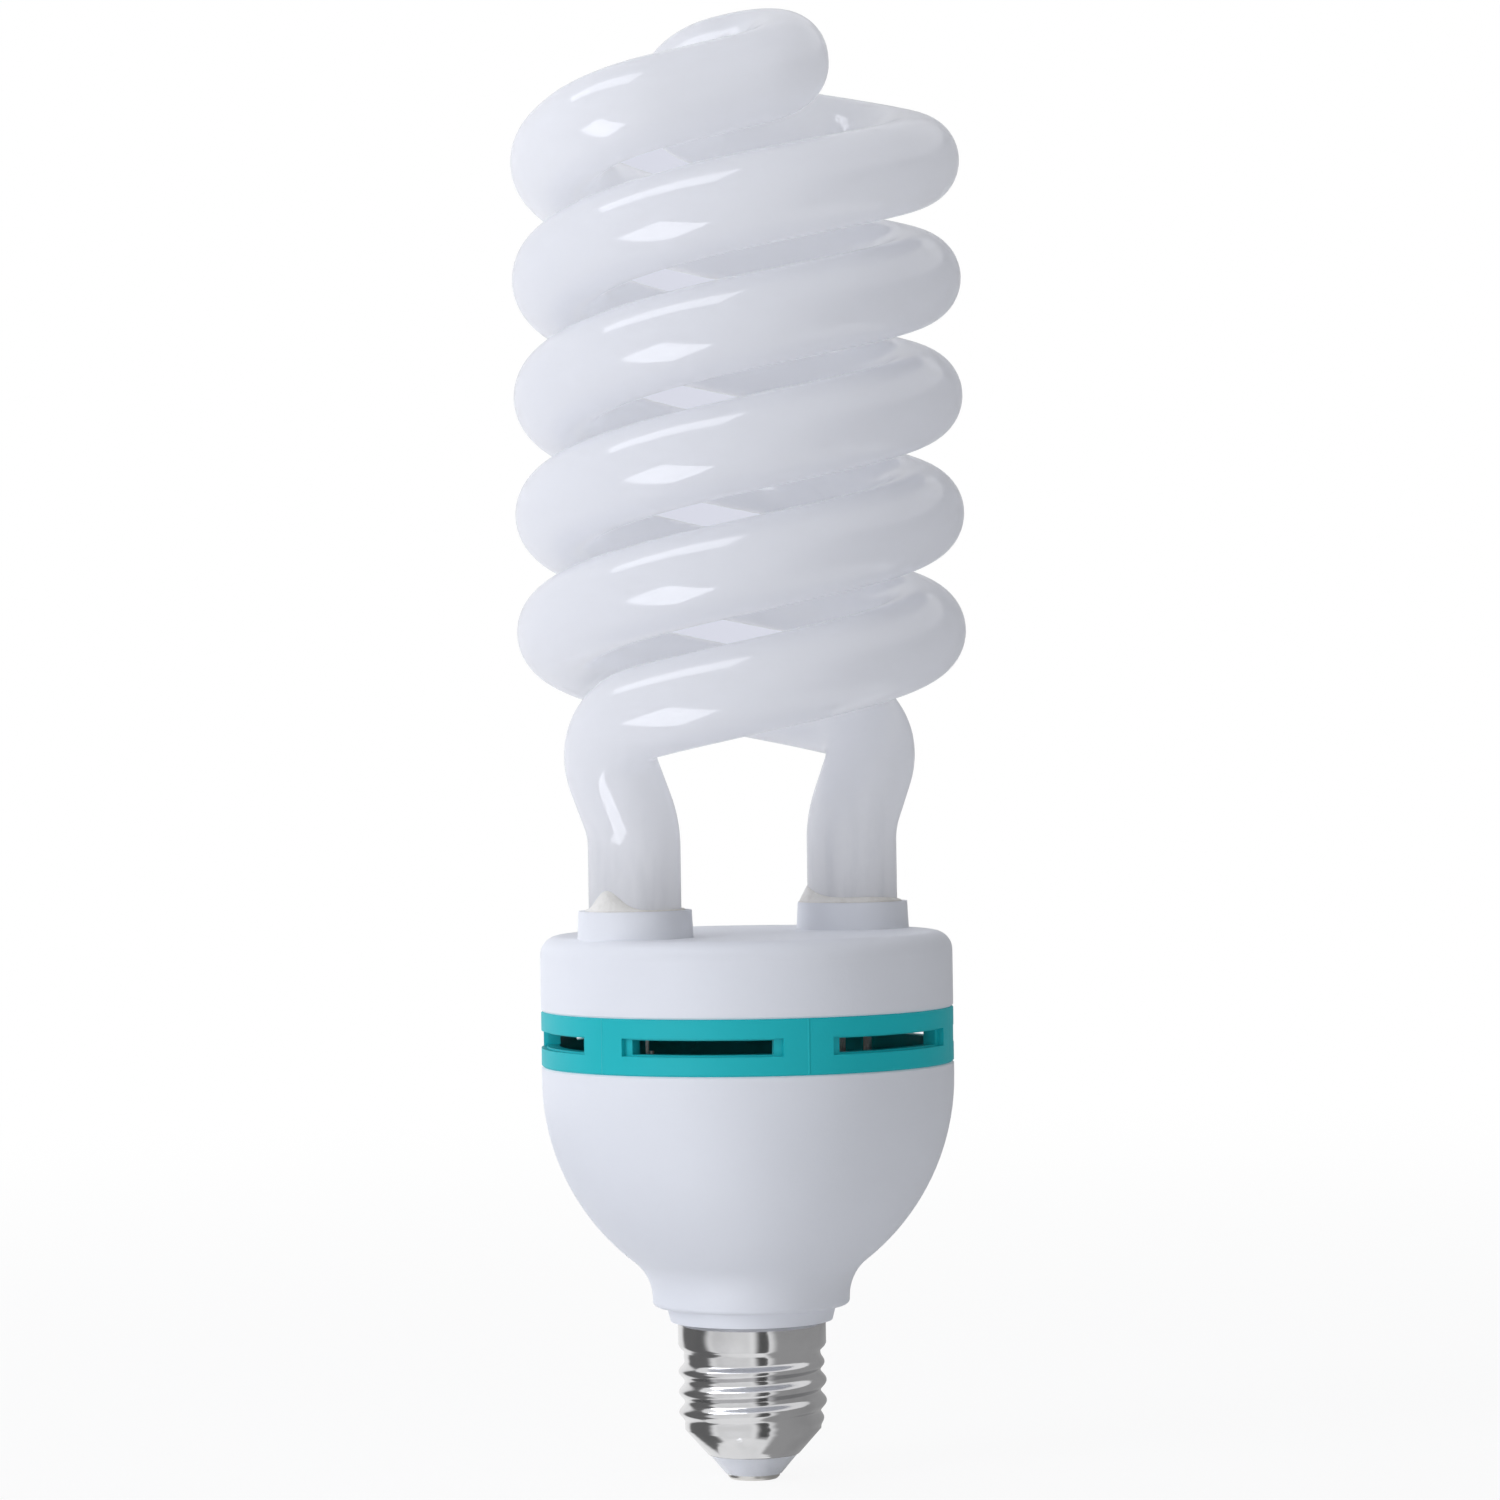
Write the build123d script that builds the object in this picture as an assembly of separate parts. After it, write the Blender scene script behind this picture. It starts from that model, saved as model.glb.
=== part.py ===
from build123d import *
import math
import os

# Spiral studio bulb with a built-in ballast and a 27 mm screw cap. Sizes are in millimetres.
# The origin is the bottom face of the centre contact, +Z runs up the axis of the bulb,
# and the two legs of the glass tube stand on the X axis.

# Screw cap
THREAD_MAJOR = 26.3
THREAD_DEPTH = 1.05
THREAD_PITCH = 3.629
THREAD_CREST_HALF_WIDTH = 1.45
THREAD_LENGTH = 13.8
THREAD_BEARING = 201.0
CAP_RIM_LENGTH = 5.5
CAP_WALL = 0.4
CONE_HEIGHT = 4.4
CONE_MOUTH_RADIUS = 8.4
INSULATOR_LENGTH = 3.5
INSULATOR_TIP_RADIUS = 5.0
INSULATOR_FLANGE = 2.4
CONTACT_RADIUS = 4.6
CONTACT_THICKNESS = 0.9
CONTACT_EDGE = 0.4

# Ballast housing
BODY_RADIUS = 36.6
BODY_WALL = 1.8
HOUSING_COLLAR_LENGTH = 2.7
HOUSING_COLLAR_RADIUS = 15.1
HOUSING_COLLAR_TAPER = 0.7
NECK_RADIUS = 17.5
NECK_EDGE = 0.9
NECK_LIP = 0.4
FLARE_BEND = 8.5
BOWL_BEND = 41.1
BOWL_RIM_LENGTH = 2.5
SPIGOT_WALL = 1.6
RIB_COUNT = 6
RIB_BEARING = 30.0
RIB_WIDTH = 2.4
RIB_DEPTH = 3.2
RIB_HEIGHT = 14.0

# Vent ring
RING_HEIGHT = 9.8
RING_LIP_WALL = 1.3
RING_LIP_LENGTH = 2.5
SLOT_COUNT = 6
SLOT_BEARING = 38.7
SLOT_ANGLE = 41.0
SLOT_HEIGHT = 2.5
RECESS_ANGLE = 46.0
RECESS_HEIGHT = 3.1
RECESS_DEPTH = 1.0

# Top cover
COVER_HEIGHT = 13.3
COVER_EDGE = 3.4
LEG_INSET = 12.1
LEG_COLLAR_WALL = 1.25
LEG_COLLAR_HEIGHT = 4.8
LEG_COLLAR_DRAFT = 3.0
LEG_SLEEVE_LENGTH = 8.0

# Glass tube
TUBE_DIAMETER = 16.2
COIL_RADIUS = 31.75
COIL_PITCH = 41.7
COIL_START_ANGLE = 22.0
COIL_START_HEIGHT = 39.6
COIL_SWEEP = 865.0
LEG_STRAIGHT = 19.2
LEG_DEPTH = 11.0
LEG_KINK_BEND = 14.0
LEG_TOP_BEND = 11.0
LEG_END_ROUND = 3.0
CROWN_BEARING = -38.0
CROWN_BEND = 13.0
CROWN_ENTRY_RISE = 9.0
CROWN_TOP_RISE = 15.4
CROWN_LEAN = 2.0
PATH_STRAIGHT = 0.5
HOOK_GAP = 0.1
EXHAUST_RADIUS = 1.8
EXHAUST_LENGTH = 4.0

# Cement that holds the legs in the cover
CEMENT_RISE = 1.6
CEMENT_SHELF = 0.8

# Ballast board and wiring
BOARD_THICKNESS = 1.6
LEAD_RADIUS = 0.4
LEAD_STUB = 1.2
POST_RADIUS = 0.6
POST_HEIGHT = 6.0
TUBE_LEAD_RADIUS = 0.3
TUBE_LEAD_SPACING = 6.0
WIRE_RADIUS = 0.7
WIRE_BEND = 8.0
WIRE_DROP = 17.0
WIRE_END_DROP = 4.0

# Choke
CORE_LENGTH = 18.0
CORE_WIDTH = 25.0
CORE_DEPTH = 7.0
CORE_LIMB = 3.5
BOBBIN_WALL = 0.8
BOBBIN_FLANGE_DEPTH = 16.0
WINDING_MARGIN = 0.8

# Small components
BULK_RADIUS = 8.0
BULK_LENGTH = 30.0
BULK_PIN_SPACING = 7.5
TRANSISTOR_WIDTH = 10.0
TRANSISTOR_HEIGHT = 9.0
TRANSISTOR_THICKNESS = 4.4
TRANSISTOR_TAB_HEIGHT = 6.2
TRANSISTOR_TAB_THICKNESS = 1.3
TRANSISTOR_HOLE_RADIUS = 1.8
TRANSISTOR_PIN_LENGTH = 3.0
TRANSISTOR_PIN_SPACING = 2.54
FILM_LENGTH = 13.0
FILM_WIDTH = 6.0
FILM_HEIGHT = 11.0
FILM_EDGE = 1.5
FILM_PIN_SPACING = 10.0
DRIVE_RING_RADIUS = 4.0
DRIVE_RING_SECTION = 2.6
DRIVE_RING_HEIGHT = 3.4
DRIVE_WIRE_RADIUS = 0.3
DRIVE_TURNS = 3
DRIVE_WINDINGS = 3
DRIVE_TURN_STEP = 28.0
DRUM_RADIUS = 4.5
DRUM_HEIGHT = 10.0
DRUM_FLANGE = 1.4
DRUM_WAIST = 1.0
DIODE_RADIUS = 1.4
DIODE_LENGTH = 5.2
DIODE_COUNT = 4
DIODE_STEP = 4.6
FUSE_RADIUS = 2.0
FUSE_LENGTH = 9.0
AXIAL_LOOP = 3.4
AXIAL_BEND = 1.4
THERMISTOR_RADIUS = 4.2
THERMISTOR_THICKNESS = 3.0

# Places of the components under the board
CHOKE_X = -13.5
BULK_X = 6.5
TRANSISTOR_X = 18.0
TRANSISTOR_Y = 6.0
FILM_X = 0.0
FILM_Y = 18.5
CORNER_X = 14.0
CORNER_Y = 18.0
DIODE_X = -15.5
DIODE_Y = -14.6
FUSE_X = -9.5
THERMISTOR_X = -18.5
UPPER_Y = 17.0
SUPPLY_X = -1.5
SUPPLY_Y = 12.5

# Fits between pieces
SLIDE_FIT = 0.1
SEAM_EDGE = 0.3
LEAD_FIT = 0.15
CEMENT_FIT = 0.05
BORE_GAP = 0.55
BOARD_FIT = 0.4
WIRE_FIT = 0.2

# Heights up the axis, each piece standing on the one below
shell_bottom = CONTACT_THICKNESS + INSULATOR_LENGTH
thread_bottom = shell_bottom + CONE_HEIGHT
thread_top = thread_bottom + THREAD_LENGTH
cap_top = thread_top + CAP_RIM_LENGTH
neck_z = cap_top + HOUSING_COLLAR_LENGTH
spigot_bottom = thread_top + THREAD_DEPTH + SLIDE_FIT
thread_minor_radius = THREAD_MAJOR / 2 - THREAD_DEPTH
spigot_radius = THREAD_MAJOR / 2 - CAP_WALL - SLIDE_FIT
spigot_bore = spigot_radius - SPIGOT_WALL
bowl_centre_r = BODY_RADIUS - BOWL_BEND
flare_centre_r = NECK_RADIUS + FLARE_BEND
flare_z = neck_z + NECK_LIP + NECK_EDGE
bowl_rise = math.sqrt((BOWL_BEND + FLARE_BEND) ** 2 - (flare_centre_r - bowl_centre_r) ** 2)
bowl_centre_z = flare_z + bowl_rise
flare_angle = math.degrees(math.atan2(bowl_rise, flare_centre_r - bowl_centre_r))
ring_bottom = bowl_centre_z + BOWL_RIM_LENGTH
ring_top = ring_bottom + RING_HEIGHT
cover_top = ring_top + COVER_HEIGHT
board_top = ring_bottom - RING_LIP_LENGTH
board_bottom = board_top - BOARD_THICKNESS
wall_inner_radius = BODY_RADIUS - BODY_WALL
board_radius = wall_inner_radius - BOARD_FIT
tube_radius = TUBE_DIAMETER / 2
bore_radius = tube_radius + BORE_GAP
leg_radius = BODY_RADIUS - LEG_INSET
leg_foot_z = cover_top - LEG_DEPTH

BASE = (Align.CENTER, Align.CENTER, Align.MIN)
HANG = (Align.CENTER, Align.CENTER, Align.MAX)


def turned(outline):
    """Solid of revolution about the axis, from a closed outline of (radius, height) edges."""
    return revolve(Plane.XZ * make_face(outline), Axis.Z)


def turned_points(*points):
    """Solid of revolution about the axis, from the corners of a straight-sided outline."""
    return turned(Polyline(*points, close=True))


def pipe(path, radius):
    """Round bar of one radius along a path."""
    return sweep(Plane(path @ 0, z_dir=path % 0) * Circle(radius), path=path)


def leg_places():
    """Places of the two legs on the cover, at right and left."""
    return [Pos(leg_radius, 0), Rot(0, 0, 180) * Pos(leg_radius, 0)]


# Glass tube

def coil_point(angle):
    """Point on the centreline of one strand of the coil."""
    turn = math.radians(angle)
    rise = COIL_PITCH * (angle - COIL_START_ANGLE) / 360
    height = cover_top + COIL_START_HEIGHT + rise
    return Vector(COIL_RADIUS * math.cos(turn), COIL_RADIUS * math.sin(turn), height)


def coil_direction(angle):
    """Unit vector along the centreline of one strand of the coil."""
    turn = math.radians(angle)
    climb = COIL_PITCH / (2 * math.pi)
    return Vector(-COIL_RADIUS * math.sin(turn), COIL_RADIUS * math.cos(turn), climb).normalized()


def leg_path(start):
    """Centreline from the sealed foot up the leg and round into the coil."""
    foot = Vector(leg_radius, 0, leg_foot_z)
    kink = Vector(leg_radius, 0, cover_top + LEG_STRAIGHT)
    corner = start - coil_direction(COIL_START_ANGLE) * (LEG_TOP_BEND + PATH_STRAIGHT)
    return FilletPolyline(foot, kink, corner, start, radius=[LEG_KINK_BEND, LEG_TOP_BEND])


def crown_corners(lean):
    """Corners of one hook of the S, in from the top of the coil to the crossing at the axis."""
    end_angle = COIL_START_ANGLE + COIL_SWEEP
    end = coil_point(end_angle)
    swing = end + coil_direction(end_angle) * (CROWN_BEND + PATH_STRAIGHT)
    hook_bend = tube_radius + HOOK_GAP
    hook_reach = hook_bend + PATH_STRAIGHT
    hook_depth = 2 * hook_bend + PATH_STRAIGHT
    outer = Vector(hook_reach, -hook_depth, end.Z + CROWN_ENTRY_RISE + lean)
    inner = Vector(hook_reach, 0, end.Z + CROWN_TOP_RISE + lean)
    return [end, swing, outer.rotate(Axis.Z, CROWN_BEARING), inner.rotate(Axis.Z, CROWN_BEARING)]


def crown_path():
    """Centreline of the S-shaped crown, in through one hook and out through the other."""
    hook_bend = tube_radius + HOOK_GAP
    near = crown_corners(CROWN_LEAN)
    far = [corner.rotate(Axis.Z, 180) for corner in crown_corners(-CROWN_LEAN)]
    bends = [CROWN_BEND, hook_bend, hook_bend]
    return FilletPolyline(*near, *reversed(far), radius=[*bends, *reversed(bends)])


def strand_edges():
    """Centreline of one leg and one strand of the coil."""
    start = coil_point(COIL_START_ANGLE)
    helix = Helix(COIL_PITCH, COIL_PITCH * COIL_SWEEP / 360, COIL_RADIUS)
    coil = Pos(0, 0, start.Z) * Rot(0, 0, COIL_START_ANGLE) * helix
    return [*leg_path(start).edges(), *coil.edges()]


def spiral_tube():
    """Sealed glass tube, bent as one piece, with a sealed-off exhaust tip on each foot."""
    strand = strand_edges()
    other = [Rot(0, 0, 180) * edge for edge in strand]
    glass = pipe(Wire([*strand, *crown_path().edges(), *other]), tube_radius)
    glass = fillet(glass.edges().group_by(Axis.Z)[0], LEG_END_ROUND)
    tip = Pos(0, 0, leg_foot_z) * Cylinder(EXHAUST_RADIUS, EXHAUST_LENGTH, align=HANG)
    tip = fillet(tip.edges().sort_by(Axis.Z)[0], EXHAUST_RADIUS / 2)
    return glass + [place * tip for place in leg_places()]


def leg_cement():
    """Cement in one collar, with a fillet up the glass."""
    inner = tube_radius + CEMENT_FIT
    outer = bore_radius - CEMENT_FIT
    rim = cover_top + LEG_COLLAR_HEIGHT + CEMENT_FIT
    bottom = cover_top - LEG_SLEEVE_LENGTH
    return turned_points(
        (inner, bottom), (outer, bottom), (outer, rim), (outer + CEMENT_SHELF, rim), (inner, rim + CEMENT_RISE)
    )


# Cover, ring and housing

def top_cover():
    """Moulded cover with two collars and sleeves for the legs of the tube."""
    cap = Pos(0, 0, ring_top) * Cylinder(BODY_RADIUS, COVER_HEIGHT, align=BASE)
    cap = fillet(cap.edges().sort_by(Axis.Z)[-1], COVER_EDGE)
    cap = chamfer(cap.edges().sort_by(Axis.Z)[0], SEAM_EDGE)
    hollow = Pos(0, 0, ring_top) * Cylinder(wall_inner_radius, COVER_HEIGHT - BODY_WALL, align=BASE)
    hollow = fillet(hollow.edges().sort_by(Axis.Z)[-1], COVER_EDGE - BODY_WALL / 2)
    cap = cap - hollow
    top_radius = bore_radius + LEG_COLLAR_WALL
    foot_radius = top_radius + LEG_COLLAR_HEIGHT * math.tan(math.radians(LEG_COLLAR_DRAFT))
    collar = turned_points(
        (0, cover_top - LEG_SLEEVE_LENGTH),
        (top_radius, cover_top - LEG_SLEEVE_LENGTH),
        (foot_radius, cover_top - COVER_EDGE),
        (foot_radius, cover_top),
        (top_radius, cover_top + LEG_COLLAR_HEIGHT),
        (0, cover_top + LEG_COLLAR_HEIGHT),
    )
    bore = Pos(0, 0, ring_top) * Cylinder(bore_radius, 2 * COVER_HEIGHT, align=BASE)
    for place in leg_places():
        cap = cap + place * collar
    for place in leg_places():
        cap = cap - place * bore
    return cap


def arc_cut(inner, height, angle):
    """Cutter for a slot round the ring, open outwards and centred on the X axis."""
    outline = Plane.XZ * Pos(inner, 0) * Rectangle(BODY_RADIUS, height, align=(Align.MIN, Align.CENTER))
    return Rot(0, 0, -angle / 2) * revolve(outline, Axis.Z, revolution_arc=angle)


def vent_ring():
    """Ring between housing and cover, with lips inside both and a row of recessed air slots."""
    lip_outer = wall_inner_radius - SLIDE_FIT
    lip_inner = lip_outer - RING_LIP_WALL
    ring = turned_points(
        (lip_inner, ring_bottom - RING_LIP_LENGTH),
        (lip_outer, ring_bottom - RING_LIP_LENGTH),
        (lip_outer, ring_bottom),
        (BODY_RADIUS - SEAM_EDGE, ring_bottom),
        (BODY_RADIUS, ring_bottom + SEAM_EDGE),
        (BODY_RADIUS, ring_top - SEAM_EDGE),
        (BODY_RADIUS - SEAM_EDGE, ring_top),
        (lip_outer, ring_top),
        (lip_outer, ring_top + RING_LIP_LENGTH),
        (lip_inner, ring_top + RING_LIP_LENGTH),
    )
    slot = arc_cut(lip_inner - RING_LIP_WALL, SLOT_HEIGHT, SLOT_ANGLE)
    recess = arc_cut(BODY_RADIUS - RECESS_DEPTH, RECESS_HEIGHT, RECESS_ANGLE)
    middle = Pos(0, 0, (ring_bottom + ring_top) / 2)
    for index in range(SLOT_COUNT):
        ring = ring - middle * Rot(0, 0, SLOT_BEARING + index * 360 / SLOT_COUNT) * (slot + recess)
    return ring


def bowl_side(inset):
    """Curved side of the bowl, up from its neck, moved in by the inset."""
    bowl = CenterArc((bowl_centre_r, bowl_centre_z), BOWL_BEND - inset, -flare_angle, flare_angle)
    flare = CenterArc((flare_centre_r, flare_z), FLARE_BEND + inset, 180 - flare_angle, flare_angle)
    return [flare, bowl]


def housing_outside():
    """Solid inside the outer face of the housing."""
    collar_foot = HOUSING_COLLAR_RADIUS - HOUSING_COLLAR_TAPER
    below = Polyline(
        (0, ring_bottom),
        (0, spigot_bottom),
        (spigot_radius, spigot_bottom),
        (spigot_radius, cap_top),
        (collar_foot, cap_top),
        (HOUSING_COLLAR_RADIUS, neck_z),
        (NECK_RADIUS - NECK_EDGE, neck_z),
    )
    corner = CenterArc((NECK_RADIUS - NECK_EDGE, neck_z + NECK_EDGE), NECK_EDGE, -90, 90)
    lip = Line(corner @ 1, (NECK_RADIUS, flare_z))
    rim = Polyline(
        (BODY_RADIUS, bowl_centre_z),
        (BODY_RADIUS, ring_bottom - SEAM_EDGE),
        (BODY_RADIUS - SEAM_EDGE, ring_bottom),
        (0, ring_bottom),
    )
    return turned([below, corner, lip, *bowl_side(0), rim])


def housing_inside():
    """Hollow of the housing, down through the spigot."""
    floor = neck_z + NECK_EDGE
    neck = NECK_RADIUS - BODY_WALL
    below = Polyline(
        (0, ring_bottom),
        (0, thread_top),
        (spigot_bore, thread_top),
        (spigot_bore, floor),
        (neck, floor),
        (neck, flare_z),
    )
    rim = Polyline((wall_inner_radius, bowl_centre_z), (wall_inner_radius, ring_bottom), (0, ring_bottom))
    return turned([below, *bowl_side(BODY_WALL), rim])


def ballast_housing():
    """Moulded bowl with a stepped neck, a spigot for the cap and ribs that carry the board."""
    outside = housing_outside()
    rib_middle = Pos(wall_inner_radius, 0, board_bottom)
    rib = rib_middle * Box(2 * RIB_DEPTH, RIB_WIDTH, RIB_HEIGHT, align=HANG)
    housing = outside - housing_inside()
    for index in range(RIB_COUNT):
        housing = housing + (outside & Rot(0, 0, RIB_BEARING + index * 360 / RIB_COUNT) * rib)
    return housing


# Screw cap

def thread_ridge():
    """Rounded helical ridge of the rolled thread, run out at both ends."""
    clear = thread_minor_radius + 2 * THREAD_DEPTH
    helix = Pos(0, 0, thread_bottom) * Helix(THREAD_PITCH, THREAD_LENGTH, thread_minor_radius)
    section = Plane(helix @ 0, x_dir=(1, 0, 0), z_dir=helix % 0)
    ridge = sweep(section * Ellipse(THREAD_DEPTH, THREAD_CREST_HALF_WIDTH), path=helix, is_frenet=True)
    run_out = turned_points(
        (0, thread_bottom - THREAD_CREST_HALF_WIDTH),
        (thread_minor_radius, thread_bottom - THREAD_CREST_HALF_WIDTH),
        (clear, thread_bottom + 3 * THREAD_CREST_HALF_WIDTH),
        (clear, thread_top - 3 * THREAD_CREST_HALF_WIDTH),
        (thread_minor_radius, thread_top + THREAD_CREST_HALF_WIDTH),
        (0, thread_top + THREAD_CREST_HALF_WIDTH),
    )
    return Rot(0, 0, THREAD_BEARING) * (ridge & run_out)


def cap_outline(inset):
    """Solid inside the plain form of the shell, moved in by the inset."""
    rim = THREAD_MAJOR / 2 - inset
    waist = thread_minor_radius - inset
    return turned_points(
        (0, shell_bottom),
        (CONE_MOUTH_RADIUS - inset, shell_bottom),
        (waist, thread_bottom),
        (waist, thread_top),
        (rim, thread_top + THREAD_DEPTH),
        (rim, cap_top),
        (0, cap_top),
    )


def cap_shell():
    """Thin metal shell with a rolled thread, a plain rim and a coned end."""
    return cap_outline(0) + thread_ridge() - cap_outline(CAP_WALL)


def cap_insulator():
    """Insulator that closes the coned end of the shell and carries the contact."""
    mouth = CONE_MOUTH_RADIUS - CAP_WALL - CEMENT_FIT
    slope = (thread_minor_radius - CONE_MOUTH_RADIUS) / CONE_HEIGHT
    flange = mouth + slope * INSULATOR_FLANGE
    bore = WIRE_RADIUS + WIRE_FIT
    return turned_points(
        (bore, CONTACT_THICKNESS),
        (INSULATOR_TIP_RADIUS, CONTACT_THICKNESS),
        (mouth, shell_bottom),
        (flange, shell_bottom + INSULATOR_FLANGE),
        (bore, shell_bottom + INSULATOR_FLANGE),
    )


def centre_contact():
    """Round contact plate with a broken lower edge."""
    plate = Cylinder(CONTACT_RADIUS, CONTACT_THICKNESS, align=BASE)
    return chamfer(plate.edges().sort_by(Axis.Z)[0], CONTACT_EDGE)


# Components, each drawn hanging from the underside of the board at the origin

def pins(points, start=0.0):
    """Round pins that rise from a level below the board, through it and out above."""
    length = BOARD_THICKNESS + LEAD_STUB - start
    return [Pos(x, y, start) * Cylinder(LEAD_RADIUS, length, align=BASE) for x, y in points]


def choke_pin_points():
    """Pin places on the two flanges of the choke bobbin."""
    x = CORE_LENGTH / 2 - CORE_LIMB - BOBBIN_WALL / 2 - SLIDE_FIT
    y = CORE_DEPTH / 2
    return [(x, y), (x, -y), (-x, y), (-x, -y)]


def choke_core():
    """One E-shaped ferrite half of the choke, on the +X side."""
    height = -BOBBIN_FLANGE_DEPTH / 2
    half = CORE_LENGTH / 2
    block = Pos(half / 2, 0, height) * Box(half, CORE_WIDTH, CORE_DEPTH)
    window_width = CORE_WIDTH / 2 - CORE_DEPTH / 2 - CORE_LIMB
    window_middle = CORE_DEPTH / 2 + window_width / 2
    window = Box(2 * (half - CORE_LIMB), window_width, 2 * CORE_DEPTH)
    for side in (1, -1):
        block = block - Pos(0, side * window_middle, height) * window
    return block


def choke_bobbin():
    """Bobbin with a square bore for the core and two flanges with pins."""
    length = CORE_LENGTH - 2 * CORE_LIMB - 2 * SLIDE_FIT
    bore = CORE_DEPTH + 2 * SLIDE_FIT
    barrel = bore + 2 * BOBBIN_WALL
    flange_width = CORE_WIDTH - 2 * CORE_LIMB - 2 * SLIDE_FIT
    spool = Box(length, barrel, barrel)
    for side in (1, -1):
        flange = Box(BOBBIN_WALL, flange_width, BOBBIN_FLANGE_DEPTH)
        spool = spool + Pos(side * (length - BOBBIN_WALL) / 2, 0, 0) * flange
    spool = Pos(0, 0, -BOBBIN_FLANGE_DEPTH / 2) * (spool - Box(2 * length, bore, bore))
    return spool + pins(choke_pin_points(), -BOBBIN_WALL)


def choke_winding():
    """Copper winding that fills the bobbin between its flanges."""
    length = CORE_LENGTH - 2 * CORE_LIMB - 2 * BOBBIN_WALL - 4 * SLIDE_FIT
    inside = CORE_DEPTH + 2 * BOBBIN_WALL + 4 * SLIDE_FIT
    width = CORE_WIDTH - 2 * CORE_LIMB - 2 * SLIDE_FIT - 2 * WINDING_MARGIN
    depth = BOBBIN_FLANGE_DEPTH - 2 * WINDING_MARGIN
    section = RectangleRounded(width, depth, (width - inside) / 2) - Rectangle(inside, inside)
    winding = extrude(Plane.YZ * section, length / 2, both=True)
    return Pos(0, 0, -BOBBIN_FLANGE_DEPTH / 2) * winding


def bulk_capacitor():
    """Smoothing capacitor: a can that reaches down into the neck of the housing."""
    can = Cylinder(BULK_RADIUS, BULK_LENGTH, align=HANG)
    can = fillet(can.edges().group_by(Axis.Z)[0], CONTACT_EDGE)
    return can + pins(bulk_pin_points())


def bulk_pin_points():
    """Pin places of the smoothing capacitor."""
    return [(0, BULK_PIN_SPACING / 2), (0, -BULK_PIN_SPACING / 2)]


def transistor_pin_points():
    """Pin places of a power transistor."""
    return [(0, step * TRANSISTOR_PIN_SPACING) for step in (-1, 0, 1)]


def transistor():
    """Power transistor hanging from three pins, with a drilled metal tab."""
    body = Pos(0, 0, -TRANSISTOR_PIN_LENGTH) * Box(
        TRANSISTOR_THICKNESS, TRANSISTOR_WIDTH, TRANSISTOR_HEIGHT, align=HANG
    )
    tab_top = TRANSISTOR_PIN_LENGTH + TRANSISTOR_HEIGHT
    tab_x = (TRANSISTOR_THICKNESS - TRANSISTOR_TAB_THICKNESS) / 2
    tab = Pos(tab_x, 0, -tab_top) * Box(
        TRANSISTOR_TAB_THICKNESS, TRANSISTOR_WIDTH, TRANSISTOR_TAB_HEIGHT, align=HANG
    )
    hole = Pos(tab_x, 0, -tab_top - TRANSISTOR_TAB_HEIGHT / 2) * Rot(0, 90, 0)
    tab = tab - hole * Cylinder(TRANSISTOR_HOLE_RADIUS, 2 * TRANSISTOR_THICKNESS)
    return body + tab + pins(transistor_pin_points(), -2 * TRANSISTOR_PIN_LENGTH)


def film_pin_points():
    """Pin places of a film capacitor."""
    return [(FILM_PIN_SPACING / 2, 0), (-FILM_PIN_SPACING / 2, 0)]


def film_capacitor():
    """Dipped film capacitor with soft edges."""
    block = Box(FILM_LENGTH, FILM_WIDTH, FILM_HEIGHT, align=HANG)
    block = fillet(block.edges().filter_by(Axis.Z), FILM_EDGE)
    return block + pins(film_pin_points())


def drive_turn_radius():
    """Radius of one turn of wire round the section of the drive ring."""
    return math.hypot(DRIVE_RING_SECTION, DRIVE_RING_HEIGHT) / 2 + DRIVE_WIRE_RADIUS + CEMENT_FIT


def drive_ring():
    """Ferrite ring of the drive transformer, lying under the board."""
    drop = -drive_turn_radius() - DRIVE_WIRE_RADIUS - CEMENT_FIT
    outer = Cylinder(DRIVE_RING_RADIUS + DRIVE_RING_SECTION / 2, DRIVE_RING_HEIGHT)
    inner = Cylinder(DRIVE_RING_RADIUS - DRIVE_RING_SECTION / 2, DRIVE_RING_HEIGHT)
    return Pos(0, 0, drop) * (outer - inner)


def drive_windings():
    """Separate turns of wire round the drive ring, in equal groups."""
    drop = -drive_turn_radius() - DRIVE_WIRE_RADIUS - CEMENT_FIT
    turn = Pos(DRIVE_RING_RADIUS, 0, drop) * Rot(90, 0, 0) * Torus(drive_turn_radius(), DRIVE_WIRE_RADIUS)
    turns = []
    for winding in range(DRIVE_WINDINGS):
        for index in range(DRIVE_TURNS):
            angle = winding * 360 / DRIVE_WINDINGS + index * DRIVE_TURN_STEP
            turns.append(Rot(0, 0, angle) * turn)
    return Compound(children=turns)


def drum_pin_points():
    """Pin places of the filter choke."""
    return [(DRUM_RADIUS / 2, 0), (-DRUM_RADIUS / 2, 0)]


def filter_choke():
    """Wound drum core with a waist between two flanges."""
    drum = turned_points(
        (0, 0),
        (DRUM_RADIUS, 0),
        (DRUM_RADIUS, -DRUM_FLANGE),
        (DRUM_RADIUS - DRUM_WAIST, -DRUM_FLANGE),
        (DRUM_RADIUS - DRUM_WAIST, DRUM_FLANGE - DRUM_HEIGHT),
        (DRUM_RADIUS, DRUM_FLANGE - DRUM_HEIGHT),
        (DRUM_RADIUS, -DRUM_HEIGHT),
        (0, -DRUM_HEIGHT),
    )
    return drum + pins(drum_pin_points())


def axial_pin_points():
    """Pin places of a part with a lead at each end, stood on one end."""
    return [(0, 0), (AXIAL_LOOP, 0)]


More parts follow.
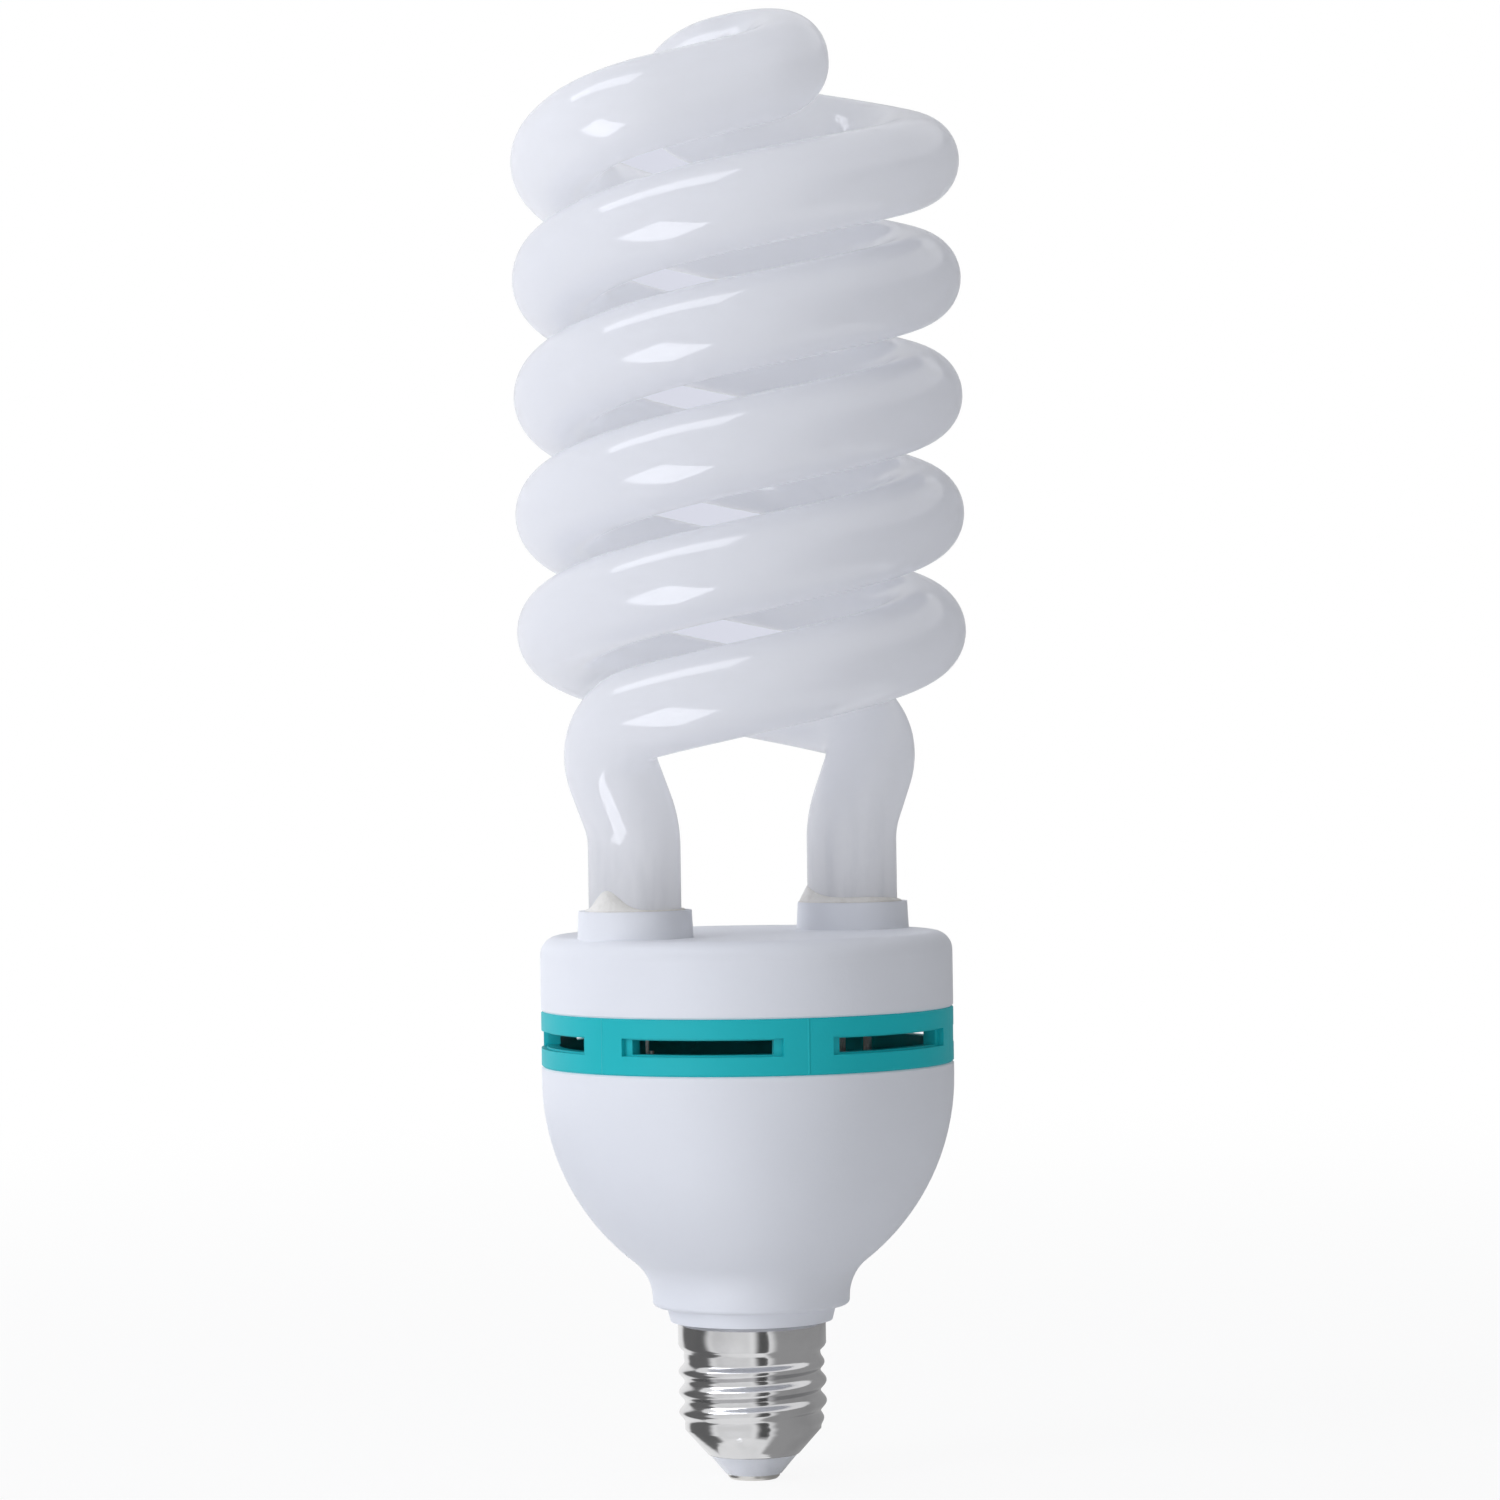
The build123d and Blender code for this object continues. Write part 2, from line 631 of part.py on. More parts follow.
def axial_part(radius, length):
    """Upright round body on one lead, with the other lead looped back to the board."""
    top = BOARD_THICKNESS + LEAD_STUB
    bottom = -length - 2 * AXIAL_BEND
    loop = FilletPolyline(
        (0, 0, top), (0, 0, bottom), (AXIAL_LOOP, 0, bottom), (AXIAL_LOOP, 0, top), radius=AXIAL_BEND
    )
    return Cylinder(radius, length, align=HANG) + pipe(loop, LEAD_RADIUS)


def rectifier_diodes():
    """Row of rectifier diodes, each a separate solid."""
    return Compound(children=[Pos(0, y, 0) * axial_part(DIODE_RADIUS, DIODE_LENGTH) for y in diode_rows()])


def diode_rows():
    """Places of the diodes along their row, about its middle."""
    return [(index - (DIODE_COUNT - 1) / 2) * DIODE_STEP for index in range(DIODE_COUNT)]


def diode_pin_points():
    """Pin places of the whole row of diodes."""
    return [(x, y + row) for row in diode_rows() for x, y in axial_pin_points()]


def thermistor_pin_points():
    """Pin places of the starting thermistor."""
    return [(THERMISTOR_RADIUS / 2, 0), (-THERMISTOR_RADIUS / 2, 0)]


def starting_thermistor():
    """Disc thermistor standing on edge."""
    disc = Pos(0, 0, -THERMISTOR_RADIUS) * Rot(90, 0, 0) * Cylinder(THERMISTOR_RADIUS, THERMISTOR_THICKNESS)
    return disc + pins(thermistor_pin_points(), -THERMISTOR_RADIUS)


def board_layout():
    """Every component: its node, solid, pin places, place under the board and turn in degrees."""
    film = film_capacitor()
    power = transistor()
    half_core = choke_core()
    return [
        ("choke_core_inner", half_core, [], CHOKE_X, 0, 0),
        ("choke_core_outer", half_core, [], CHOKE_X, 0, 180),
        ("choke_bobbin", choke_bobbin(), choke_pin_points(), CHOKE_X, 0, 0),
        ("choke_winding", choke_winding(), [], CHOKE_X, 0, 0),
        ("bulk_capacitor", bulk_capacitor(), bulk_pin_points(), BULK_X, 0, 0),
        ("transistor_high", power, transistor_pin_points(), TRANSISTOR_X, TRANSISTOR_Y, 0),
        ("transistor_low", power, transistor_pin_points(), TRANSISTOR_X, -TRANSISTOR_Y, 0),
        ("resonant_capacitor", film, film_pin_points(), FILM_X, FILM_Y, 0),
        ("coupling_capacitor", film, film_pin_points(), FILM_X, -FILM_Y, 0),
        ("drive_ring", drive_ring(), [], CORNER_X, CORNER_Y, 0),
        ("drive_windings", drive_windings(), [], CORNER_X, CORNER_Y, 0),
        ("filter_choke", filter_choke(), drum_pin_points(), CORNER_X, -CORNER_Y, 0),
        ("rectifier_diodes", rectifier_diodes(), diode_pin_points(), DIODE_X, DIODE_Y, -90),
        ("fuse_resistor", axial_part(FUSE_RADIUS, FUSE_LENGTH), axial_pin_points(), FUSE_X, UPPER_Y, 180),
        ("starting_thermistor", starting_thermistor(), thermistor_pin_points(), THERMISTOR_X, UPPER_Y, 0),
    ]


def post_places():
    """Places of the wrap posts, beside the lead wires of each leg."""
    offset = TUBE_LEAD_SPACING / 2 + TUBE_LEAD_RADIUS + CEMENT_FIT + POST_RADIUS
    return [place * Pos(0, side * offset) for place in leg_places() for side in (1, -1)]


def wire_posts():
    """Posts that the lead wires of the tube are wrapped on, through the board."""
    length = POST_HEIGHT + BOARD_THICKNESS + LEAD_STUB
    post = Pos(0, 0, board_bottom - LEAD_STUB) * Cylinder(POST_RADIUS, length, align=BASE)
    return Compound(children=[place * post for place in post_places()])


def tube_leads():
    """Pair of lead wires from the sealed end of one leg down to its posts."""
    bottom = board_top + LEAD_STUB
    length = leg_foot_z - bottom
    lead = Pos(0, 0, bottom) * Cylinder(TUBE_LEAD_RADIUS, length, align=BASE)
    return Compound(children=[Pos(0, side * TUBE_LEAD_SPACING / 2) * lead for side in (1, -1)])


def circuit_board(layout):
    """Round board with a hole for every pin, post and supply wire."""
    board = Pos(0, 0, board_bottom) * Cylinder(board_radius, BOARD_THICKNESS, align=BASE)
    drill_length = 4 * BOARD_THICKNESS
    pin_drill = Cylinder(LEAD_RADIUS + LEAD_FIT, drill_length)
    post_drill = Cylinder(POST_RADIUS + LEAD_FIT, drill_length)
    wire_drill = Cylinder(WIRE_RADIUS + LEAD_FIT, drill_length)
    drills = []
    for _, _, points, x, y, turn in layout:
        for pin_x, pin_y in points:
            drills.append(Pos(x, y, board_bottom) * Rot(0, 0, turn) * Pos(pin_x, pin_y) * pin_drill)
    for place in post_places():
        drills.append(Pos(0, 0, board_bottom) * place * post_drill)
    for side in (1, -1):
        drills.append(Pos(SUPPLY_X, side * SUPPLY_Y, board_bottom) * wire_drill)
    return board - drills


def live_wire():
    """Insulated wire from the board down the neck to the centre contact."""
    x, y = SUPPLY_X, -SUPPLY_Y
    route = FilletPolyline(
        (x, y, board_top + LEAD_STUB),
        (x, y, neck_z + WIRE_DROP),
        (0, 0, cap_top),
        (0, 0, CONTACT_THICKNESS),
        radius=WIRE_BEND,
    )
    return pipe(route, WIRE_RADIUS)


def neutral_wire():
    """Insulated wire from the board down the neck to the inside of the shell."""
    x, y = SUPPLY_X, SUPPLY_Y
    bearing = math.atan2(y, x)
    run = spigot_bore - WIRE_RADIUS - WIRE_FIT
    end = thread_minor_radius - CAP_WALL - WIRE_RADIUS - CEMENT_FIT
    low = thread_top - WIRE_END_DROP
    route = FilletPolyline(
        (x, y, board_top + LEAD_STUB),
        (x, y, neck_z + WIRE_DROP),
        (run * math.cos(bearing), run * math.sin(bearing), neck_z + NECK_EDGE + 2 * WIRE_RADIUS),
        (run * math.cos(bearing), run * math.sin(bearing), low),
        (end * math.cos(bearing), end * math.sin(bearing), low - WIRE_END_DROP),
        radius=WIRE_BEND,
    )
    return pipe(route, WIRE_RADIUS)


def build():
    """Every node of the bulb, by name."""
    layout = board_layout()
    right, left = leg_places()
    nodes = {
        "spiral_tube": spiral_tube(),
        "leg_cement_right": right * leg_cement(),
        "leg_cement_left": left * leg_cement(),
        "top_cover": top_cover(),
        "vent_ring": vent_ring(),
        "ballast_housing": ballast_housing(),
        "cap_shell": cap_shell(),
        "cap_insulator": cap_insulator(),
        "centre_contact": centre_contact(),
        "circuit_board": circuit_board(layout),
        "wire_posts": wire_posts(),
        "tube_leads_right": right * tube_leads(),
        "tube_leads_left": left * tube_leads(),
        "live_wire": live_wire(),
        "neutral_wire": neutral_wire(),
    }
    for name, solid, _, x, y, turn in layout:
        nodes[name] = Pos(x, y, board_bottom) * Rot(0, 0, turn) * solid
    return nodes


os.makedirs("parts", exist_ok=True)
for node_name, node_shape in build().items():
    export_step(node_shape, f"parts/{node_name}.step")
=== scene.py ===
import logging
import math
from collections.abc import Sequence
from dataclasses import dataclass, field
from enum import Enum

import bmesh
import bpy
from mathutils import Matrix, Vector


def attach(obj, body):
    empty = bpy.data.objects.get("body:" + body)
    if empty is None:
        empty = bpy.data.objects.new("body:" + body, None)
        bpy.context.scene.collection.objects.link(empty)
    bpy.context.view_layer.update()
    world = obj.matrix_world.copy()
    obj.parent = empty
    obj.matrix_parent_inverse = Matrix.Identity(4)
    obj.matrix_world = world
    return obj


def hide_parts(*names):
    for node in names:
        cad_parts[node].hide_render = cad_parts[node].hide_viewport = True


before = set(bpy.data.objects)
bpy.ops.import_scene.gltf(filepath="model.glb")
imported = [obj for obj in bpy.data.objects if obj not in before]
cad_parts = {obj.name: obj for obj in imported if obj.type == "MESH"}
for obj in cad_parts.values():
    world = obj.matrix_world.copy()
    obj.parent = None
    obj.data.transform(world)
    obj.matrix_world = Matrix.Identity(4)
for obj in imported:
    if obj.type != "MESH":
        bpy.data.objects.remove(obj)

log = logging.getLogger("studio_bulb")

MM = 0.001
BODY = "root"
LEG_RADIUS = 24.5
WELD = 0.01
QUAD = 4

Colour = tuple[float, float, float]
Place = tuple[float, float, float]
Range = tuple[float, float]


def mm(x: float, y: float, z: float) -> Vector:
    """Point in metres from millimetres."""
    return Vector((x, y, z)) * MM


def smooth(share: float) -> float:
    """Smooth step from nought to one, held beyond them."""
    held = min(max(share, 0.0), 1.0)
    return held * held * (3.0 - 2.0 * held)


class Turn(Enum):
    """Whether a coil is followed up or down."""

    UP = 1
    DOWN = -1


class LampRole(Enum):
    """What a studio lamp is there for."""

    LIGHT = "light"
    GLINT = "glint"


class CardRole(Enum):
    """What a studio card is there for."""

    MIRRORED = "mirrored"
    SHADING = "shading"


class Detail(Enum):
    """Octaves of finer noise in a texture."""

    SMOOTH = 1.0
    PLAIN = 2.0
    FINE = 3.0
    GRITTY = 4.0


# Shader graphs


class Signal:
    """Output socket of a shader node, with arithmetic that adds Math nodes."""

    def __init__(self, graph: "Graph", socket: bpy.types.NodeSocket) -> None:
        """Keeps the socket and the graph that it is in."""
        self.graph = graph
        self.socket = socket

    def __add__(self, other: "Signal | float") -> "Signal":
        """Sum of two values."""
        return self.graph.maths("ADD", self, other)

    def __radd__(self, other: float) -> "Signal":
        """Sum, with the number first."""
        return self.graph.maths("ADD", other, self)

    def __sub__(self, other: "Signal | float") -> "Signal":
        """Difference of two values."""
        return self.graph.maths("SUBTRACT", self, other)

    def __rsub__(self, other: float) -> "Signal":
        """Difference, with the number first."""
        return self.graph.maths("SUBTRACT", other, self)

    def __mul__(self, other: "Signal | float") -> "Signal":
        """Product of two values."""
        return self.graph.maths("MULTIPLY", self, other)

    def __rmul__(self, other: float) -> "Signal":
        """Product, with the number first."""
        return self.graph.maths("MULTIPLY", other, self)

    def __truediv__(self, other: "Signal | float") -> "Signal":
        """Quotient of two values."""
        return self.graph.maths("DIVIDE", self, other)

    def __rtruediv__(self, other: float) -> "Signal":
        """Quotient, with the number first."""
        return self.graph.maths("DIVIDE", other, self)

    def __mod__(self, other: "Signal | float") -> "Signal":
        """Remainder that is never negative."""
        return self.graph.maths("FLOORED_MODULO", self, other)

    def __abs__(self) -> "Signal":
        """Size of the value without its sign."""
        return self.graph.maths("ABSOLUTE", self)

    def __lt__(self, other: "Signal | float") -> "Signal":
        """One where the value is the smaller, and nought elsewhere."""
        return self.graph.maths("LESS_THAN", self, other)

    def ramp(self, low: float, high: float) -> "Signal":
        """Smooth mask that is nought at low and one at high.

        Args:
            low: value at which the mask is nought.
            high: value at which the mask is one.

        Returns:
            The mask.
        """
        settings = {"interpolation_type": "SMOOTHSTEP"}
        inputs = {"Value": self, "From Min": low, "From Max": high}
        return self.graph.node("ShaderNodeMapRange", settings, inputs)


class Graph:
    """Node tree of one material or of the world."""

    MIX_SHARE, MIX_FIRST, MIX_SECOND, MIX_RESULT = 0, 6, 7, 2

    def __init__(self, tree: bpy.types.NodeTree) -> None:
        """Starts from an empty tree."""
        self.tree = tree
        tree.nodes.clear()

    def node(
        self,
        kind: str,
        settings: dict[str, object] | None = None,
        inputs: dict[str | int, object] | None = None,
        output: str | int = 0,
    ) -> Signal:
        """Adds a node, sets it up and links it.

        Args:
            kind: Blender's name for the type of node.
            settings: properties of the node, set before its sockets.
            inputs: values or links of its sockets, by name or number.
            output: the socket that is handed on.

        Returns:
            The chosen output.
        """
        made = self.tree.nodes.new(kind)
        for name, value in (settings or {}).items():
            setattr(made, name, value)
        for name, value in (inputs or {}).items():
            if isinstance(value, Signal):
                self.tree.links.new(value.socket, made.inputs[name])
            else:
                made.inputs[name].default_value = value
        return Signal(self, made.outputs[output] if made.outputs else made.inputs[0])

    def maths(self, operation: str, *values: "Signal | float") -> Signal:
        """Adds one Math node for an operation on values."""
        return self.node("ShaderNodeMath", {"operation": operation}, dict(enumerate(values)))

    def place(self) -> Signal:
        """Place on the piece, in metres in the shared frame."""
        return self.node("ShaderNodeTexCoord", output="Object")

    def axis(self, name: str) -> Signal:
        """One coordinate of the place on the piece."""
        return self.node("ShaderNodeSeparateXYZ", None, {0: self.place()}, name)

    def off_bearing(self, bearing: float, cycle: float) -> Signal:
        """Angle to the nearest of some bearings round the axis of the bulb.

        Args:
            bearing: one of the bearings, in degrees.
            cycle: angle from each bearing to the next.

        Returns:
            The angle in degrees, without its sign.
        """
        here = self.maths("ARCTAN2", self.axis("Y"), self.axis("X")) * math.degrees(1.0)
        return abs((here - bearing + cycle / 2) % cycle - cycle / 2)

    def noise(
        self, cells: float, detail: Detail = Detail.PLAIN, stretch: Place = (1.0, 1.0, 1.0)
    ) -> Signal:
        """Cloudy noise about one half.

        Args:
            cells: number of cells in a metre.
            detail: how much finer noise there is in it.
            stretch: factor on each coordinate.

        Returns:
            The noise, from nought to one.
        """
        spread = self.node("ShaderNodeMapping", None, {"Vector": self.place(), "Scale": stretch})
        inputs = {"Vector": spread, "Scale": cells, "Detail": detail.value}
        return self.node("ShaderNodeTexNoise", None, inputs)

    def mix(self, mask: Signal, first: "Signal | Colour", second: "Signal | Colour") -> Signal:
        """Colour that goes from the first to the second as the mask rises.

        Args:
            mask: share of the second colour.
            first: colour where the mask is nought.
            second: colour where the mask is one.

        Returns:
            The mixed colour.
        """
        ends = [end if isinstance(end, Signal) else (*end, 1.0) for end in (first, second)]
        inputs = {self.MIX_SHARE: mask, self.MIX_FIRST: ends[0], self.MIX_SECOND: ends[1]}
        return self.node("ShaderNodeMix", {"data_type": "RGBA"}, inputs, self.MIX_RESULT)

    def bump(self, height: Signal, depth: float) -> Signal:
        """Normal that is tilted by a height.

        Args:
            height: height of the surface, from nought to one.
            depth: depth in metres that one stands for.

        Returns:
            The tilted normal.
        """
        inputs = {"Strength": 1.0, "Distance": depth, "Height": height}
        return self.node("ShaderNodeBump", None, inputs)


class Skin(Graph):
    """Graph of a material with one glossy surface shader."""

    def __init__(self, name: str) -> None:
        """Adds the material."""
        self.material = bpy.data.materials.new(name)
        self.material.use_nodes = True
        super().__init__(self.material.node_tree)

    def finish(self, passing: float = 0.0, **sockets: object) -> bpy.types.Material:
        """Links the surface shader.

        Args:
            passing: share of the light that comes through a thin wall from behind.
            sockets: values or links of the shader's sockets, with _ for a space in a name.

        Returns:
            The material.
        """
        named = {name.replace("_", " "): value for name, value in sockets.items()}
        shader = self.node("ShaderNodeBsdfPrincipled", None, named)
        if passing:
            inputs = {"Color": sockets["Base_Color"], "Normal": sockets["Normal"]}
            through = self.node("ShaderNodeBsdfTranslucent", None, inputs)
            shader = self.node("ShaderNodeMixShader", None, {0: passing, 1: shader, 2: through})
        self.node("ShaderNodeOutputMaterial", None, {"Surface": shader})
        return self.material


# Finishes


@dataclass(frozen=True)
class CoatedGlass:
    """Clear glass over a white powder coat that thins towards the feet of the tube; the greying
    there is part thinner coat, part painted shade.
    """

    name: str = "coated_glass"
    white: Colour = (0.96, 0.965, 0.985)
    shade: Colour = (0.95, 0.955, 0.975)
    cloud_cells: float = 22.0
    cloud_edges: Range = (0.35, 0.65)
    # thin and streak: greyer coat near the feet, partly a thinner coat and partly painted shade
    # around the legs
    thin: Colour = (0.95, 0.95, 0.965)
    thin_and_shaded_heights: Range = (0.128, 0.099)
    streak: Colour = (0.86, 0.865, 0.885)
    streak_cells: float = 330.0
    streak_stretch: Place = (1.0, 1.0, 0.2)
    streak_edges: Range = (0.45, 0.8)
    ripple_cells: float = 75.0
    ripple_depth: float = 0.00008
    gloss: float = 0.02
    gloss_spread: float = 0.03
    index: float = 1.75
    passing: float = 0.5

    def material(self) -> bpy.types.Material:
        """Material of the coated glass."""
        skin = Skin(self.name)
        cloud = skin.noise(self.cloud_cells)
        coat = skin.mix(cloud.ramp(*self.cloud_edges), self.white, self.shade)
        # the greying towards the feet is partly the thinner coat and partly painted shade where the
        # legs meet the cover
        brushed = skin.noise(self.streak_cells, Detail.FINE, self.streak_stretch)
        thin = skin.mix(brushed.ramp(*self.streak_edges), self.thin, self.streak)
        thinning_and_painted_shade = skin.axis("Z").ramp(*self.thin_and_shaded_heights)
        ripple = skin.noise(self.ripple_cells, Detail.SMOOTH)
        return skin.finish(
            self.passing,
            Base_Color=skin.mix(thinning_and_painted_shade, coat, thin),
            Roughness=self.gloss + self.gloss_spread * cloud,
            IOR=self.index,
            Normal=skin.bump(ripple, self.ripple_depth),
        )


@dataclass(frozen=True)
class MouldedPlastic:
    """Moulded plastic with a fine even grain and faint cloudiness."""

    name: str
    colour: Colour
    cloud: Colour
    roughness: float
    index: float = 1.5
    seam_bearing: float | None = None
    seam_count: int = 6
    seam_width: float = 0.5
    seam_height: float = 4.0
    cloud_cells: float = 30.0
    cloud_edges: Range = (0.3, 0.7)
    sheen_cells: float = 260.0
    sheen_spread: float = 0.08
    grain_cells: float = 1700.0
    grain_depth: float = 0.00002

    def material(self) -> bpy.types.Material:
        """Material of the plastic, with the lines that the mould left where they are given."""
        skin = Skin(self.name)
        cloud = skin.noise(self.cloud_cells).ramp(*self.cloud_edges)
        sheen = skin.noise(self.sheen_cells) - 0.5
        height = skin.noise(self.grain_cells)
        if self.seam_bearing is not None:
            off = skin.off_bearing(self.seam_bearing, 360.0 / self.seam_count)
            height = height + self.seam_height * (1.0 - off.ramp(0.0, self.seam_width))
        return skin.finish(
            Base_Color=skin.mix(cloud, self.colour, self.cloud),
            Roughness=self.roughness + self.sheen_spread * sheen,
            IOR=self.index,
            Normal=skin.bump(height, self.grain_depth),
        )


@dataclass(frozen=True)
class PlatedMetal:
    """Bright plated metal with faint marks from drawing and rolling."""

    name: str
    colour: Colour
    dull: Colour
    roughness: float
    roll_cells: float = 140.0
    roll_stretch: Place = (1.0, 1.0, 14.0)
    roll_depth: float = 0.00002
    handled_cells: float = 120.0
    handled_edges: Range = (0.4, 0.75)
    mark_roughness: float = 0.1

    def material(self) -> bpy.types.Material:
        """Material of the metal."""
        skin = Skin(self.name)
        rolled = skin.noise(self.roll_cells, Detail.FINE, self.roll_stretch)
        handled = skin.noise(self.handled_cells, Detail.GRITTY)
        return skin.finish(
            Base_Color=skin.mix(handled.ramp(*self.handled_edges), self.colour, self.dull),
            Metallic=1.0,
            Roughness=self.roughness + self.mark_roughness * rolled * handled,
            Normal=skin.bump(rolled, self.roll_depth),
        )


@dataclass(frozen=True)
class Cement:
    """Dry cream cement with a gritty skin."""

    name: str = "cement"
    cream: Colour = (0.89, 0.87, 0.825)
    stain: Colour = (0.81, 0.785, 0.735)
    stain_cells: float = 420.0
    stain_edges: Range = (0.45, 0.75)
    grit_cells: float = 1500.0
    grit_depth: float = 0.0002
    roughness: float = 0.75
    grit_roughness: float = 0.15

    def material(self) -> bpy.types.Material:
        """Material of the cement."""
        skin = Skin(self.name)
        grit = skin.noise(self.grit_cells, Detail.GRITTY)
        stain = skin.noise(self.stain_cells).ramp(*self.stain_edges)
        return skin.finish(
            Base_Color=skin.mix(stain, self.cream, self.stain),
            Roughness=self.roughness + self.grit_roughness * grit,
            Normal=skin.bump(grit, self.grit_depth),
        )


@dataclass(frozen=True)
class DarkPart:
    """Plain finish of a small part of the ballast: ferrite, moulding, sleeve or dipped coat."""

    name: str
    colour: Colour
    worn: Colour
    roughness: float
    metal: float = 0.0
    mottle_cells: float = 300.0
    mottle_edges: Range = (0.4, 0.7)
    mottle_roughness: float = 0.1
    grit_cells: float = 2200.0
    grit_depth: float = 0.00004

    def material(self) -> bpy.types.Material:
        """Material of the part."""
        skin = Skin(self.name)
        mottle = skin.noise(self.mottle_cells, Detail.FINE)
        grit = skin.noise(self.grit_cells)
        return skin.finish(
            Base_Color=skin.mix(mottle.ramp(*self.mottle_edges), self.colour, self.worn),
            Metallic=self.metal,
            Roughness=self.roughness + self.mottle_roughness * (mottle - 0.5),
            Normal=skin.bump(grit, self.grit_depth),
        )


@dataclass(frozen=True)
class WoundCopper:
    """Enamelled copper wire wound in close turns."""

    name: str = "wound_copper"
    bright: Colour = (0.56, 0.22, 0.08)
    enamel: Colour = (0.33, 0.1, 0.03)
    turns: float = 420.0
    waver: float = 1.2
    turn_depth: float = 0.0001
    metal: float = 0.85
    roughness: float = 0.25
    turn_roughness: float = 0.1

    def material(self) -> bpy.types.Material:
        """Material of the winding."""
        skin = Skin(self.name)
        settings = {"wave_type": "BANDS", "bands_direction": "X"}
        inputs = {"Vector": skin.place(), "Scale": self.turns, "Distortion": self.waver}
        wave = skin.node("ShaderNodeTexWave", settings, inputs, "Fac")
        return skin.finish(
            Base_Color=skin.mix(wave, self.enamel, self.bright),
            Metallic=self.metal,
            Roughness=self.roughness + self.turn_roughness * wave,
            Normal=skin.bump(wave, self.turn_depth),
        )


# Meshes


def add_mesh(
    name: str, shape: bmesh.types.BMesh, material: bpy.types.Material
) -> bpy.types.Object:
    """Turns a finished bmesh into an object of the scene.

    Args:
        name: name of the object.
        shape: its mesh, in metres in the shared frame.
        material: its finish.

    Returns:
        The object, at the origin.
    """
    mesh = bpy.data.meshes.new(name)
    shape.to_mesh(mesh)
    shape.free()
    mesh.materials.append(material)
    made = bpy.data.objects.new(name, mesh)
    bpy.context.scene.collection.objects.link(made)
    log.info("%s: %d faces", name, len(mesh.polygons))
    return made


def add_piece(
    name: str, shape: bmesh.types.BMesh, material: bpy.types.Material
) -> bpy.types.Object:
    """Turns a finished bmesh into a piece of the bulb.

    Args:
        name: name of the piece.
        shape: its mesh, in metres in the shared frame.
        material: its finish.

    Returns:
        The piece, riding with the bulb.
    """
    bmesh.ops.recalc_face_normals(shape, faces=shape.faces)
    for face in shape.faces:
        face.smooth = True
    piece = add_mesh(name, shape, material)
    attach(piece, BODY)
    return piece


def turn_outline(
    corners: Sequence[tuple[float, float]], centre_x: float, steps: int
) -> bmesh.types.BMesh:
    """Turns a closed outline about an upright axis.

    Args:
        corners: radius and height of each corner, in millimetres.
        centre_x: place of the axis along X, in millimetres.
        steps: number of steps in the full turn.

    Returns:
        The closed mesh.
    """
    shape = bmesh.new()
    points = [shape.verts.new(mm(centre_x + radius, 0, height)) for radius, height in corners]
    edges = [shape.edges.new(pair) for pair in zip(points, points[1:] + points[:1])]
    bmesh.ops.spin(
        shape,
        geom=[*points, *edges],
        cent=mm(centre_x, 0, 0),
        axis=(0, 0, 1),
        angle=math.tau,
        steps=steps,
        use_merge=True,
    )
    bmesh.ops.remove_doubles(shape, verts=shape.verts, dist=WELD * MM)
    return shape


